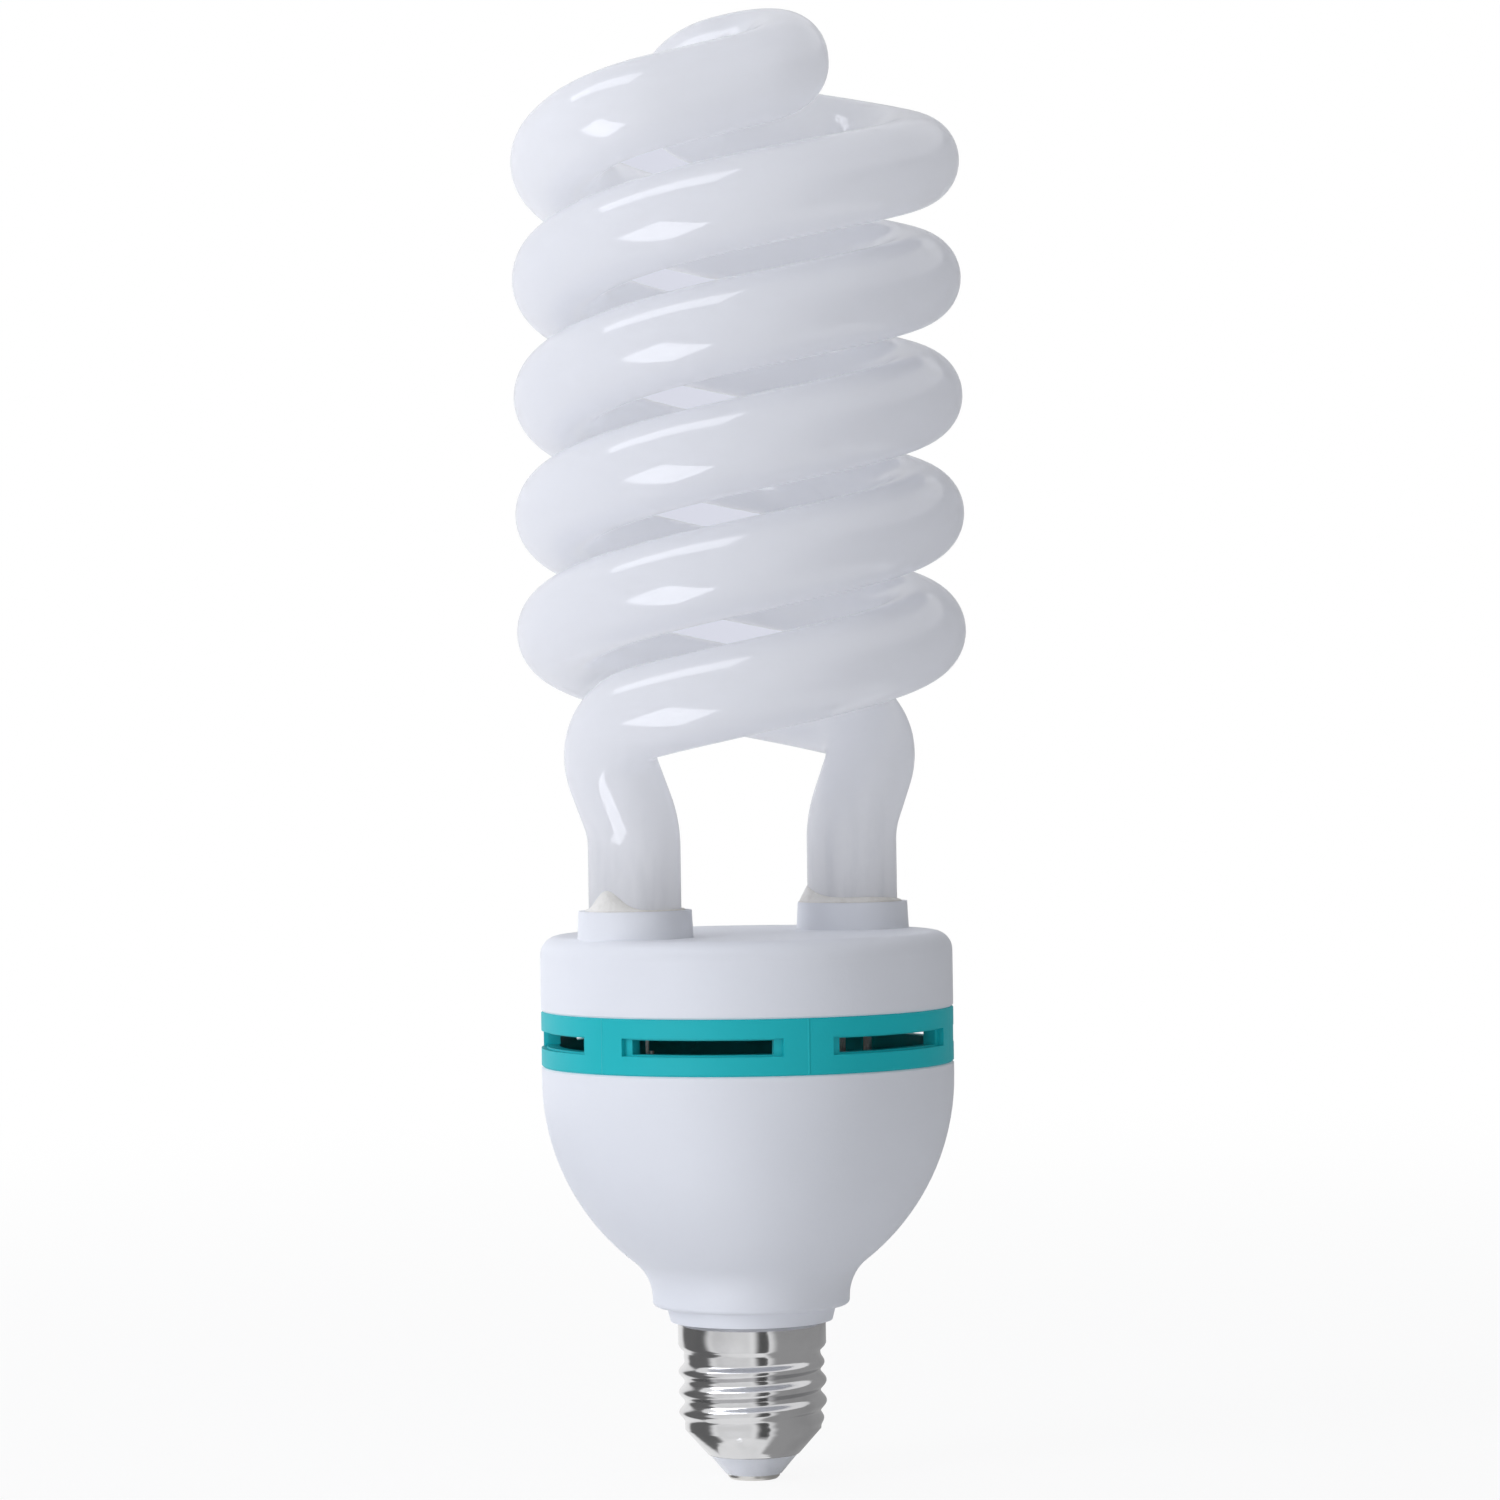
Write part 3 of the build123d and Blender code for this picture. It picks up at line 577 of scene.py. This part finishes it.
class TubeBender:
    """Ring of vertices that is drawn along straight runs, bends and coils into a tube."""

    ROUND_STEPS = 4
    ROUND_PROFILE = 0.5

    def __init__(
        self, start: Vector, along: Vector, radius: float, sides: int, step: float
    ) -> None:
        """Sets the first ring.

        Args:
            start: middle of the ring.
            along: direction that the tube leaves in.
            radius: radius of the tube.
            sides: number of vertices round the tube.
            step: largest turn between two rings, in degrees.
        """
        self.shape = bmesh.new()
        self.at = start
        self.step = math.radians(step)
        turn = along.normalized().to_track_quat("Z", "Y").to_matrix().to_4x4()
        made = bmesh.ops.create_circle(
            self.shape,
            cap_ends=False,
            radius=radius,
            segments=sides,
            matrix=Matrix.Translation(start) @ turn,
        )
        self.first = list({edge for vertex in made["verts"] for edge in vertex.link_edges})
        self.ring = self.first

    def run_to(self, end: Vector) -> None:
        """Draws the tube straight on to a point."""
        made = bmesh.ops.extrude_edge_only(self.shape, edges=self.ring)["geom"]
        vertices = [item for item in made if isinstance(item, bmesh.types.BMVert)]
        bmesh.ops.translate(self.shape, verts=vertices, vec=end - self.at)
        self._keep_last(made)
        self.at = end

    def bend(self, corner: Vector, onward: Vector, radius: float) -> None:
        """Runs up to a corner and round it.

        Args:
            corner: point where the straight runs would meet.
            onward: any point further along the next run.
            radius: radius of the bend at the middle of the tube.
        """
        before = (corner - self.at).normalized()
        after = (onward - corner).normalized()
        turn = before.angle(after)
        self.run_to(corner - before * radius * math.tan(turn / 2))
        axis = before.cross(after).normalized()
        self._spin(self.at + axis.cross(before) * radius, axis, turn, 0.0)

    def coil(self, sweep: float, pitch: float, turn: Turn) -> None:
        """Follows a coil round the axis of the bulb.

        Args:
            sweep: angle of the coil, in degrees.
            pitch: rise in a full turn.
            turn: whether the coil is followed up or down.
        """
        angle = math.radians(sweep) * turn.value
        self._spin(Vector(), Vector((0.0, 0.0, 1.0)), angle, pitch * angle / math.tau)

    def _spin(self, centre: Vector, axis: Vector, angle: float, rise: float) -> None:
        """Turns the ring about an axis, with a rise along it.

        Args:
            centre: point on the axis.
            axis: direction of the axis.
            angle: whole turn, in radians.
            rise: whole movement along the axis.
        """
        steps = max(2, math.ceil(abs(angle) / self.step))
        made = bmesh.ops.spin(
            self.shape,
            geom=self.ring,
            cent=centre,
            axis=axis,
            dvec=axis * rise / steps,
            angle=angle,
            steps=steps,
            use_merge=False,
        )["geom_last"]
        self._keep_last(made)
        self.at = centre + Matrix.Rotation(angle, 3, axis) @ (self.at - centre) + axis * rise

    def _keep_last(self, made: Sequence[object]) -> None:
        """Keeps the edges of the ring that was made last."""
        self.ring = [item for item in made if isinstance(item, bmesh.types.BMEdge)]

    def close(self, round_off: float, tip_radius: float, tip_length: float) -> bmesh.types.BMesh:
        """Seals both ends, rounds them and draws out a stub in the middle of each.

        Args:
            round_off: radius of the rounded edge.
            tip_radius: radius of the stub.
            tip_length: length of the stub.

        Returns:
            The finished tube.
        """
        for ring in (self.first, self.ring):
            bmesh.ops.edgeloop_fill(self.shape, edges=ring)
        bmesh.ops.recalc_face_normals(self.shape, faces=self.shape.faces)
        bmesh.ops.bevel(
            self.shape,
            geom=[*self.first, *self.ring],
            offset=round_off,
            affect="EDGES",
            segments=self.ROUND_STEPS,
            profile=self.ROUND_PROFILE,
            material=-1,
        )
        ends = [face for face in self.shape.faces if len(face.verts) > QUAD]
        for end in ends:
            rim = (end.verts[0].co - end.calc_center_median()).length
            bmesh.ops.inset_individual(self.shape, faces=[end], thickness=rim - tip_radius)
            stub = bmesh.ops.extrude_discrete_faces(self.shape, faces=[end])["faces"][0]
            bmesh.ops.translate(self.shape, verts=stub.verts, vec=stub.normal * tip_length)
        return self.shape


# Sub-assemblies


@dataclass
class GlassTube:
    """Sealed tube of the bulb, bent as one piece from foot to foot, in millimetres."""

    cover_top: float = 96.8
    radius: float = 8.1
    leg_radius: float = LEG_RADIUS
    leg_depth: float = 11.0
    leg_straight: float = 19.2
    kink_bend: float = 14.0
    top_bend: float = 11.0
    coil_radius: float = 31.75
    coil_pitch: float = 41.7
    coil_start: float = 22.0
    coil_sweep: float = 865.0
    coil_rise: float = 39.6
    crown_bearing: float = -38.0
    crown_bend: float = 13.0
    crown_entry: float = 9.0
    crown_top: float = 15.4
    crown_lean: float = 2.0
    hook_bend: float = 8.2
    straight: float = 0.5
    end_round: float = 3.0
    stub_radius: float = 1.8
    stub_length: float = 4.0
    sides: int = 56
    step: float = 3.0
    glass: CoatedGlass = field(default_factory=CoatedGlass)

    def build(self) -> bpy.types.Object:
        """Bends the tube.

        Returns:
            The piece, in place of its solid.
        """
        up = self._strand(self.crown_lean, 0.0)
        down = self._strand(-self.crown_lean, math.pi)
        bender = TubeBender(up[0], up[1] - up[0], self.radius * MM, self.sides, self.step)
        leg_bends = (self.kink_bend, self.top_bend)
        crown_bends = (self.crown_bend, self.hook_bend, self.hook_bend)
        self._follow(bender, up[1:4], leg_bends)
        bender.coil(self.coil_sweep, self.coil_pitch * MM, Turn.UP)
        self._follow(bender, up[5:9], crown_bends)
        self._follow(bender, [*down[7:4:-1], down[4]], crown_bends[::-1])
        bender.coil(self.coil_sweep, self.coil_pitch * MM, Turn.DOWN)
        self._follow(bender, [down[2], down[1], down[0]], leg_bends[::-1])
        shape = bender.close(self.end_round * MM, self.stub_radius * MM, self.stub_length * MM)
        piece = add_piece("glass_coil", shape, self.glass.material())
        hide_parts("spiral_tube")
        return piece

    def _follow(self, bender: TubeBender, points: Sequence[Vector], bends: Sequence[float]) -> None:
        """Takes the tube round corners and on to the end of the last run.

        Args:
            bender: tube that is being bent.
            points: the corners, then the end.
            bends: radius of the bend at each corner, in millimetres.
        """
        for corner, onward, bend in zip(points, points[1:], bends):
            bender.bend(corner, onward, bend * MM)
        bender.run_to(points[-1])

    def _strand(self, lean: float, turn: float) -> list[Vector]:
        """Corners of one half of the tube, from its foot to the middle of the crown.

        Args:
            lean: rise of its hook above the middle of the crown.
            turn: turn of the whole half about the axis, in radians.

        Returns:
            Foot, two corners of the leg, start and end of the coil, three corners of the crown
            and its middle.
        """
        start_angle = math.radians(self.coil_start)
        end_angle = math.radians(self.coil_start + self.coil_sweep)
        start_z = self.cover_top + self.coil_rise
        end_z = start_z + self.coil_pitch * self.coil_sweep / 360
        start, start_way = self._coil_point(start_angle, start_z)
        end, end_way = self._coil_point(end_angle, end_z)
        reach = self.hook_bend + self.straight
        depth = 2 * self.hook_bend + self.straight
        crown = Matrix.Rotation(math.radians(self.crown_bearing), 3, "Z")
        points = [
            mm(self.leg_radius, 0, self.cover_top - self.leg_depth),
            mm(self.leg_radius, 0, self.cover_top + self.leg_straight),
            start - start_way * (self.top_bend + self.straight) * MM,
            start,
            end,
            end + end_way * (self.crown_bend + self.straight) * MM,
            crown @ mm(reach, -depth, end_z + self.crown_entry + lean),
            crown @ mm(reach, 0, end_z + self.crown_top + lean),
            mm(0, 0, end_z + self.crown_top),
        ]
        return [Matrix.Rotation(turn, 3, "Z") @ point for point in points]

    def _coil_point(self, angle: float, height: float) -> tuple[Vector, Vector]:
        """Point of the coil and the direction of the tube there.

        Args:
            angle: bearing of the point, in radians.
            height: height of the point, in millimetres.

        Returns:
            The point and the direction up the coil.
        """
        x, y = self.coil_radius * math.cos(angle), self.coil_radius * math.sin(angle)
        climb = self.coil_pitch / math.tau
        return mm(x, y, height), Vector((-y, x, climb)).normalized()


@dataclass(frozen=True)
class Smear:
    """Rise of the cement up the glass on one side of a leg, in degrees and millimetres."""

    bearing: float
    width: float
    rise: float
    spread: float


@dataclass
class CementJoint:
    """Cement between a leg of the tube and its collar, pressed up by hand, in millimetres."""

    node: str
    centre_x: float
    smears: tuple[Smear, ...]
    inner: float = 8.12
    outer: float = 8.6
    foot: float = 88.8
    rim: float = 101.62
    bead: float = 0.25
    steps: int = 96

    def build(self, material: bpy.types.Material) -> bpy.types.Object:
        """Turns the ring of cement and draws up its smears.

        Args:
            material: finish of the cement.

        Returns:
            The piece, in place of its solid.
        """
        corners = [
            (self.inner, self.foot),
            (self.outer, self.foot),
            (self.outer, self.rim),
            (self.outer + self.bead, self.rim),
            (self.outer, self.rim + self.bead),
            (self.inner + self.bead / 2, self.rim + self.bead),
            (self.inner, self.rim + self.bead),
        ]
        shape = turn_outline(corners, self.centre_x, self.steps)
        centre = mm(self.centre_x, 0, 0)
        for vertex in shape.verts:
            if vertex.co.z > (self.rim - self.bead / 2) * MM:
                vertex.co = self._smeared(vertex.co, centre)
        piece = add_piece(self.node.replace("leg_", ""), shape, material)
        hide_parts(self.node)
        return piece

    def _smeared(self, point: Vector, centre: Vector) -> Vector:
        """Moves a point of the bead up and out with the smears.

        Args:
            point: point of the bead.
            centre: point on the axis of the leg.

        Returns:
            The moved point.
        """
        arm = Vector((point.x - centre.x, point.y - centre.y, 0.0))
        bearing = math.degrees(math.atan2(arm.y, arm.x))
        on_glass = arm.length < (self.outer - WELD) * MM
        on_collar = arm.length > (self.outer + WELD) * MM or point.z > self.rim * MM
        moved = point.copy()
        for smear in self.smears:
            off = (bearing - smear.bearing + 180.0) % 360.0 - 180.0
            share = math.exp(-((off / smear.width) ** 2))
            if on_glass:
                moved.z += smear.rise * share * MM
            elif on_collar:
                moved += arm.normalized() * smear.spread * share * MM
        return moved


@dataclass
class Mouldings:
    """White cover and bowl, with the teal vent ring between them."""

    white: MouldedPlastic = MouldedPlastic(
        "white_plastic", (0.83, 0.845, 0.885), (0.81, 0.825, 0.865), 0.55
    )
    teal: MouldedPlastic = MouldedPlastic(
        "teal_plastic",
        (0.008, 0.50, 0.545),
        (0.007, 0.475, 0.515),
        0.5,
        index=1.3,
        seam_bearing=8.7,
    )

    def dress(self) -> None:
        """Gives each moulding its finish."""
        dress_nodes(self.white.material(), "top_cover", "ballast_housing")
        dress_nodes(self.teal.material(), "vent_ring")


@dataclass
class ScrewCap:
    """Threaded shell with its insulator and centre contact, in millimetres."""

    major: float = 13.15
    depth: float = 1.05
    pitch: float = 3.629
    bearing: float = 201.0
    wall: float = 0.4
    mouth: float = 8.4
    foot: float = 4.4
    thread_foot: float = 8.8
    thread_top: float = 22.6
    top: float = 28.1
    fade: float = 3.0
    edge: float = 0.25
    rows: int = 96
    steps: int = 160
    shell: PlatedMetal = PlatedMetal("plated_shell", (0.67, 0.67, 0.68), (0.57, 0.57, 0.58), 0.11)
    contact: PlatedMetal = PlatedMetal("contact_metal", (0.66, 0.65, 0.63), (0.5, 0.49, 0.47), 0.3)
    insulator: MouldedPlastic = MouldedPlastic(
        "insulator", (0.80, 0.815, 0.85), (0.77, 0.785, 0.82), 0.22
    )

    def build(self) -> bpy.types.Object:
        """Rolls the shell and dresses the pieces at its end.

        Returns:
            The shell, in place of its solid.
        """
        dress_nodes(self.contact.material(), "centre_contact")
        dress_nodes(self.insulator.material(), "cap_insulator")
        shape = turn_outline(self._outline(), 0.0, self.steps)
        inside = (self.major - self.depth - self.wall / 2) * MM
        for vertex in shape.verts:
            out = Vector((vertex.co.x, vertex.co.y, 0.0))
            if out.length > inside:
                vertex.co += out.normalized() * self._crest(vertex.co) * MM
        piece = add_piece("rolled_shell", shape, self.shell.material())
        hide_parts("cap_shell")
        return piece

    def _outline(self) -> list[tuple[float, float]]:
        """Outline of the shell before its thread is rolled.

        Returns:
            Radius and height of each corner, up the outside and down the inside.
        """
        minor = self.major - self.depth
        rise = (self.thread_top - self.thread_foot) / self.rows
        rim = self.thread_top + self.depth
        return [
            (self.mouth - self.edge, self.foot),
            (self.mouth, self.foot + self.edge),
            *((minor, self.thread_foot + row * rise) for row in range(self.rows + 1)),
            (self.major - self.edge, rim - self.edge),
            (self.major, rim + self.edge),
            (self.major, self.top - self.edge),
            (self.major - self.edge, self.top),
            (self.major - self.wall, self.top),
            (self.major - self.wall, rim),
            (minor - self.wall, self.thread_top),
            (minor - self.wall, self.thread_foot),
            (self.mouth - self.wall, self.foot),
        ]

    def _crest(self, point: Vector) -> float:
        """Height of the thread above the plain shell at a point, in millimetres."""
        height = point.z / MM
        turn = math.atan2(point.y, point.x) - math.radians(self.bearing)
        wave = 0.5 + 0.5 * math.cos(math.tau * (height - self.thread_foot) / self.pitch - turn)
        inner = min(height - self.thread_foot, self.thread_top - height) / self.fade
        return self.depth * wave * smooth(inner)


@dataclass
class Ballast:
    """Board, wiring and components inside the housing."""

    finishes: dict[DarkPart, tuple[str, ...]] = field(
        default_factory=lambda: {
            DarkPart("board_laminate", (0.36, 0.23, 0.09), (0.3, 0.19, 0.07), 0.55): (
                "circuit_board",
            ),
            DarkPart("tinned_wire", (0.62, 0.62, 0.61), (0.5, 0.5, 0.49), 0.35, metal=1.0): (
                "wire_posts",
                "tube_leads_right",
                "tube_leads_left",
            ),
            DarkPart("wire_cover", (0.66, 0.66, 0.62), (0.6, 0.6, 0.56), 0.5): (
                "live_wire",
                "neutral_wire",
            ),
            DarkPart("ferrite", (0.035, 0.035, 0.038), (0.06, 0.06, 0.062), 0.6): (
                "choke_core_inner",
                "choke_core_outer",
                "drive_ring",
                "filter_choke",
            ),
            DarkPart("dark_moulding", (0.02, 0.02, 0.02), (0.035, 0.035, 0.035), 0.5): (
                "choke_bobbin",
                "transistor_high",
                "transistor_low",
                "rectifier_diodes",
                "starting_thermistor",
            ),
            DarkPart("capacitor_sleeve", (0.012, 0.018, 0.05), (0.02, 0.028, 0.07), 0.3): (
                "bulk_capacitor",
            ),
            DarkPart("dipped_coat", (0.32, 0.075, 0.03), (0.25, 0.055, 0.022), 0.28): (
                "resonant_capacitor",
                "coupling_capacitor",
                "fuse_resistor",
            ),
        }
    )
    copper: WoundCopper = field(default_factory=WoundCopper)

    def dress(self) -> None:
        """Gives each part of the ballast its finish."""
        for finish, nodes in self.finishes.items():
            dress_nodes(finish.material(), *nodes)
        dress_nodes(self.copper.material(), "choke_winding", "drive_windings")


def dress_nodes(material: bpy.types.Material, *names: str) -> None:
    """Puts a finish on solids that are shown as they are.

    Args:
        material: the finish.
        names: nodes of the solids.
    """
    for name in names:
        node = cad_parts[name]
        if not node.material_slots:
            node.data.materials.append(material)
        for place in node.material_slots:
            place.material = material
        log.info("%s: %s", name, material.name)


# Studio


@dataclass(frozen=True)
class Lamp:
    """Soft lamp between two points, in metres right of the bulb, towards the camera and up."""

    name: str
    first: Place
    last: Place
    width: float
    radiance: float
    role: LampRole


@dataclass(frozen=True)
class Card:
    """Curved card round the bulb, grey in its middle, that is mirrored in the bulb or shades it."""

    name: str
    first: float
    last: float
    radius: float
    low: float
    high: float
    grey: float
    edge: float
    rim: float = 1.0
    foot: float | None = None
    role: CardRole = CardRole.MIRRORED


@dataclass
class Studio:
    """Camera, lamps, cards, floor and white surroundings with a grey patch of painted shade, in
    metres.
    """

    camera_bearing: float = 232.0
    camera_distance: float = 0.880
    camera_height: float = 0.133
    camera_roll: float = -0.85
    focal_pixels: float = 4952.0
    frame_pixels: float = 1500.0
    sensor: float = 36.0
    shift_pixels: tuple[float, float] = (7.0, -21.0)
    aim_height: float = 0.15
    ambient: float = 0.55
    daylight: Colour = (0.92, 0.94, 1.0)
    lamps: tuple[Lamp, ...] = (
        Lamp("left_softbox", (-1.36, 0.66, 0.3), (-1.06, 1.1, 0.3), 1.0, 4.6, LampRole.LIGHT),
        Lamp("back_softbox", (-1.5, -0.5, 0.2), (-0.6, -1.3, 0.2), 0.9, 1.6, LampRole.LIGHT),
        Lamp("overhead_softbox", (-0.9, 0.3, 1.4), (0.3, 0.3, 1.4), 0.9, 0.35, LampRole.LIGHT),
        Lamp("upper_strip", (-1.3, -0.07, 1.0), (-0.18, 0.46, 1.0), 0.42, 3.6, LampRole.GLINT),
        Lamp(
            "lower_softbox", (-0.94, 0.885, -0.39), (-0.23, 0.82, -1.01), 0.62, 4.8, LampRole.GLINT
        ),
    )
    cards: tuple[Card, ...] = (
        Card("cap_left_card", -132.0, -62.0, 0.06, -0.06, 0.06, 0.16, 14.0),
        Card("cap_front_card", 0.0, 38.0, 0.061, -0.06, 0.06, 0.1, 12.0),
        Card("cap_light_card", -64.0, 2.0, 0.062, -0.06, 0.06, 0.85, 10.0),
        Card("cap_right_card", 22.0, 200.0, 0.063, -0.025, 0.06, 0.37, 14.0, foot=0.012),
        Card("right_card", 12.0, 200.0, 1.1, -0.6, 0.7, 0.35, 50.0),
        Card("right_flag", 25.0, 190.0, 1.0, -0.6, 0.9, 0.26, 45.0, 0.55, role=CardRole.SHADING),
    )
    card_steps: int = 48
    floor_size: float = 6.0
    floor_pale: Colour = (0.94, 0.94, 0.945)
    floor_shade: Colour = (0.93, 0.93, 0.935)
    floor_cells: float = 3.0
    floor_edges: Range = (0.3, 0.7)
    floor_roughness: float = 0.9
    floor_white: float = 0.9
    floor_fade: Range = (0.12, 0.9)
    white: Colour = (1.0, 1.0, 1.0)
    # grey of the painted shade in the backdrop between the turns of the coil, then where that patch
    # lies
    painted_gap_shade: Colour = (0.694, 0.708, 0.799)
    gap_middle: tuple[float, float] = (-0.009, 0.068)
    gap_reach: tuple[float, float] = (0.021, 0.057)

    def build(self) -> None:
        """Sets up the whole studio."""
        self._camera()
        self._floor()
        self._surroundings()
        for lamp in self.lamps:
            self._lamp(lamp)
        for card in self.cards:
            self._card(card)

    def _away(self, bearing: float) -> Vector:
        """Level direction from the bulb.

        Args:
            bearing: degrees to the right of the camera.

        Returns:
            The unit vector.
        """
        turn = math.radians(self.camera_bearing + bearing)
        return Vector((math.cos(turn), math.sin(turn), 0.0))

    def _camera(self) -> None:
        """Adds the camera at the photograph's place."""
        data = bpy.data.cameras.new("camera")
        data.sensor_width = self.sensor
        data.lens = self.focal_pixels / self.frame_pixels * self.sensor
        data.shift_x, data.shift_y = (pixels / self.frame_pixels for pixels in self.shift_pixels)
        camera = bpy.data.objects.new("camera", data)
        out = self._away(0.0)
        place = out * self.camera_distance + Vector((0.0, 0.0, self.camera_height))
        facing = (-out).to_track_quat("-Z", "Y").to_matrix().to_4x4()
        roll = Matrix.Rotation(math.radians(self.camera_roll), 4, "Z")
        camera.matrix_world = Matrix.Translation(place) @ facing @ roll
        bpy.context.scene.collection.objects.link(camera)
        bpy.context.scene.camera = camera

    def _spot(self, place: Place) -> Vector:
        """Point of the studio in the shared frame.

        Args:
            place: metres right of the bulb, towards the camera and up from the middle of the bulb.

        Returns:
            The point.
        """
        right, near, up = place
        level = self._away(90.0) * right + self._away(0.0) * near
        return level + Vector((0.0, 0.0, up + self.aim_height))

    def _lamp(self, lamp: Lamp) -> None:
        """Adds one soft lamp, which faces the bulb.

        Args:
            lamp: the lamp's place, size and strength.
        """
        first, last = self._spot(lamp.first), self._spot(lamp.last)
        middle = (first + last) / 2
        along = (last - first).normalized()
        out = middle - Vector((0.0, 0.0, self.aim_height))
        back = (out - along * out.dot(along)).normalized()
        data = bpy.data.lights.new(lamp.name, "AREA")
        data.shape = "RECTANGLE"
        data.size, data.size_y = (last - first).length, lamp.width
        data.energy = lamp.radiance * math.pi * data.size * data.size_y
        data.color = self.daylight
        light = bpy.data.objects.new(lamp.name, data)
        axes = Matrix((along, back.cross(along), back)).transposed().to_4x4()
        light.matrix_world = Matrix.Translation(middle) @ axes
        light.visible_camera = False
        light.visible_diffuse = lamp.role is LampRole.LIGHT
        light.visible_glossy = lamp.role is LampRole.GLINT
        bpy.context.scene.collection.objects.link(light)

    def _card(self, card: Card) -> None:
        """Adds one curved card.

        Args:
            card: the card's place and shade.
        """
        shape = bmesh.new()
        out = self._away(card.first)
        ends = [
            shape.verts.new(out * radius + Vector((0.0, 0.0, height)))
            for radius, height in ((card.foot or card.radius, card.low), (card.radius, card.high))
        ]
        edge = shape.edges.new(ends)
        bmesh.ops.spin(
            shape,
            geom=[*ends, edge],
            cent=(0, 0, 0),
            axis=(0, 0, 1),
            angle=math.radians(card.last - card.first),
            steps=self.card_steps,
            use_merge=False,
        )
        skin = Skin(card.name)
        off = skin.off_bearing(self.camera_bearing + (card.first + card.last) / 2, 360.0)
        half = (card.last - card.first) / 2
        shade = skin.mix(off.ramp(half - card.edge, half), (card.grey,) * 3, (card.rim,) * 3)
        glow = skin.node("ShaderNodeEmission", None, {"Color": shade})
        skin.node("ShaderNodeOutputMaterial", None, {"Surface": glow})
        panel = self._stage_piece(card.name, shape, skin.material)
        panel.visible_camera = False
        panel.visible_glossy = card.role is CardRole.MIRRORED
        panel.visible_diffuse = card.role is CardRole.SHADING
        panel.visible_shadow = card.role is CardRole.SHADING

    def _stage_piece(
        self, name: str, shape: bmesh.types.BMesh, material: bpy.types.Material
    ) -> bpy.types.Object:
        """Turns a mesh into a part of the studio.

        Args:
            name: name of the part.
            shape: its mesh.
            material: its finish.

        Returns:
            The part, which doesn't belong to the bulb.
        """
        part = add_mesh(name, shape, material)
        return part

    def _floor(self) -> None:
        """Adds the pale floor, which keeps the bulb's shadow and fades to white further off."""
        shape = bmesh.new()
        bmesh.ops.create_grid(shape, x_segments=1, y_segments=1, size=self.floor_size / 2)
        skin = Skin("studio_floor")
        cloud = skin.noise(self.floor_cells).ramp(*self.floor_edges)
        inputs = {
            "Base Color": skin.mix(cloud, self.floor_pale, self.floor_shade),
            "Roughness": self.floor_roughness,
            "Specular IOR Level": 0.0,
        }
        lit = skin.node("ShaderNodeBsdfPrincipled", None, inputs)
        white = skin.node("ShaderNodeEmission", None, {"Color": (*self.white, 1.0)})
        settings = {"operation": "LENGTH"}
        away = skin.node("ShaderNodeVectorMath", settings, {0: skin.place()}, "Value")
        fade = self.floor_white + (1.0 - self.floor_white) * away.ramp(*self.floor_fade)
        seen = skin.node("ShaderNodeLightPath", output="Is Camera Ray")
        surface = skin.node("ShaderNodeMixShader", None, {0: seen * fade, 1: lit, 2: white})
        skin.node("ShaderNodeOutputMaterial", None, {"Surface": surface})
        floor = self._stage_piece("studio_floor", shape, skin.material)
        floor.visible_glossy = False
        floor.visible_shadow = False

    def _surroundings(self) -> None:
        """Lights the scene evenly and shows a white backdrop to the camera and in reflections, with
        painted shade: a grey patch where the camera looks between the turns of the coil.
        """
        world = bpy.data.worlds.new("studio")
        world.use_nodes = True
        bpy.context.scene.world = world
        graph = Graph(world.node_tree)
        share = 0.0
        for ray in ("Camera", "Glossy", "Transmission"):
            seen = graph.node("ShaderNodeLightPath", output=f"Is {ray} Ray")
            share = graph.maths("MAXIMUM", share, seen)
        inputs = {"Color": (*self.daylight, 1.0), "Strength": self.ambient}
        even = graph.node("ShaderNodeBackground", None, inputs)
        # painted shade: the backdrop turns grey where the camera looks between the turns of the
        # coil
        backdrop = graph.mix(self._between_turns(graph), self.white, self.painted_gap_shade)
        white = graph.node("ShaderNodeBackground", None, {"Color": backdrop})
        surface = graph.node("ShaderNodeMixShader", None, {0: share, 1: even, 2: white})
        graph.node("ShaderNodeOutputWorld", None, {"Surface": surface})

    def _between_turns(self, graph: Graph) -> Signal:
        """Mask of the part of the backdrop that the camera sees only between the turns of the coil,
        which is painted grey as painted shade.

        Args:
            graph: graph of the world.

        Returns:
            One on that part and nought round it.
        """
        way = graph.node("ShaderNodeTexCoord", output="Generated")
        settings = {"operation": "DOT_PRODUCT"}
        axes = (self._away(90.0), Vector((0.0, 0.0, 1.0)))
        inside = 1.0
        for axis, middle, reach in zip(axes, self.gap_middle, self.gap_reach):
            along = graph.node("ShaderNodeVectorMath", settings, {0: way, 1: axis}, "Value")
            inside = (abs(along - middle) < reach) * inside
        return inside


def main() -> None:
    """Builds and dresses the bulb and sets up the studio."""
    logging.basicConfig(level=logging.INFO, format="%(name)s: %(message)s")
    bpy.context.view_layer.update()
    GlassTube().build()
    cement = Cement().material()
    left_smears = (Smear(197.0, 24.0, 3.4, 0.9),)
    right_smears = (Smear(142.0, 45.0, 2.6, 1.0), Smear(250.0, 60.0, 0.7, 0.4))
    CementJoint("leg_cement_left", -LEG_RADIUS, left_smears).build(cement)
    CementJoint("leg_cement_right", LEG_RADIUS, right_smears).build(cement)
    Mouldings().dress()
    ScrewCap().build()
    Ballast().dress()
    Studio().build()
    bpy.context.scene.view_settings.view_transform = "Standard"


if __name__ == "__main__":
    main()
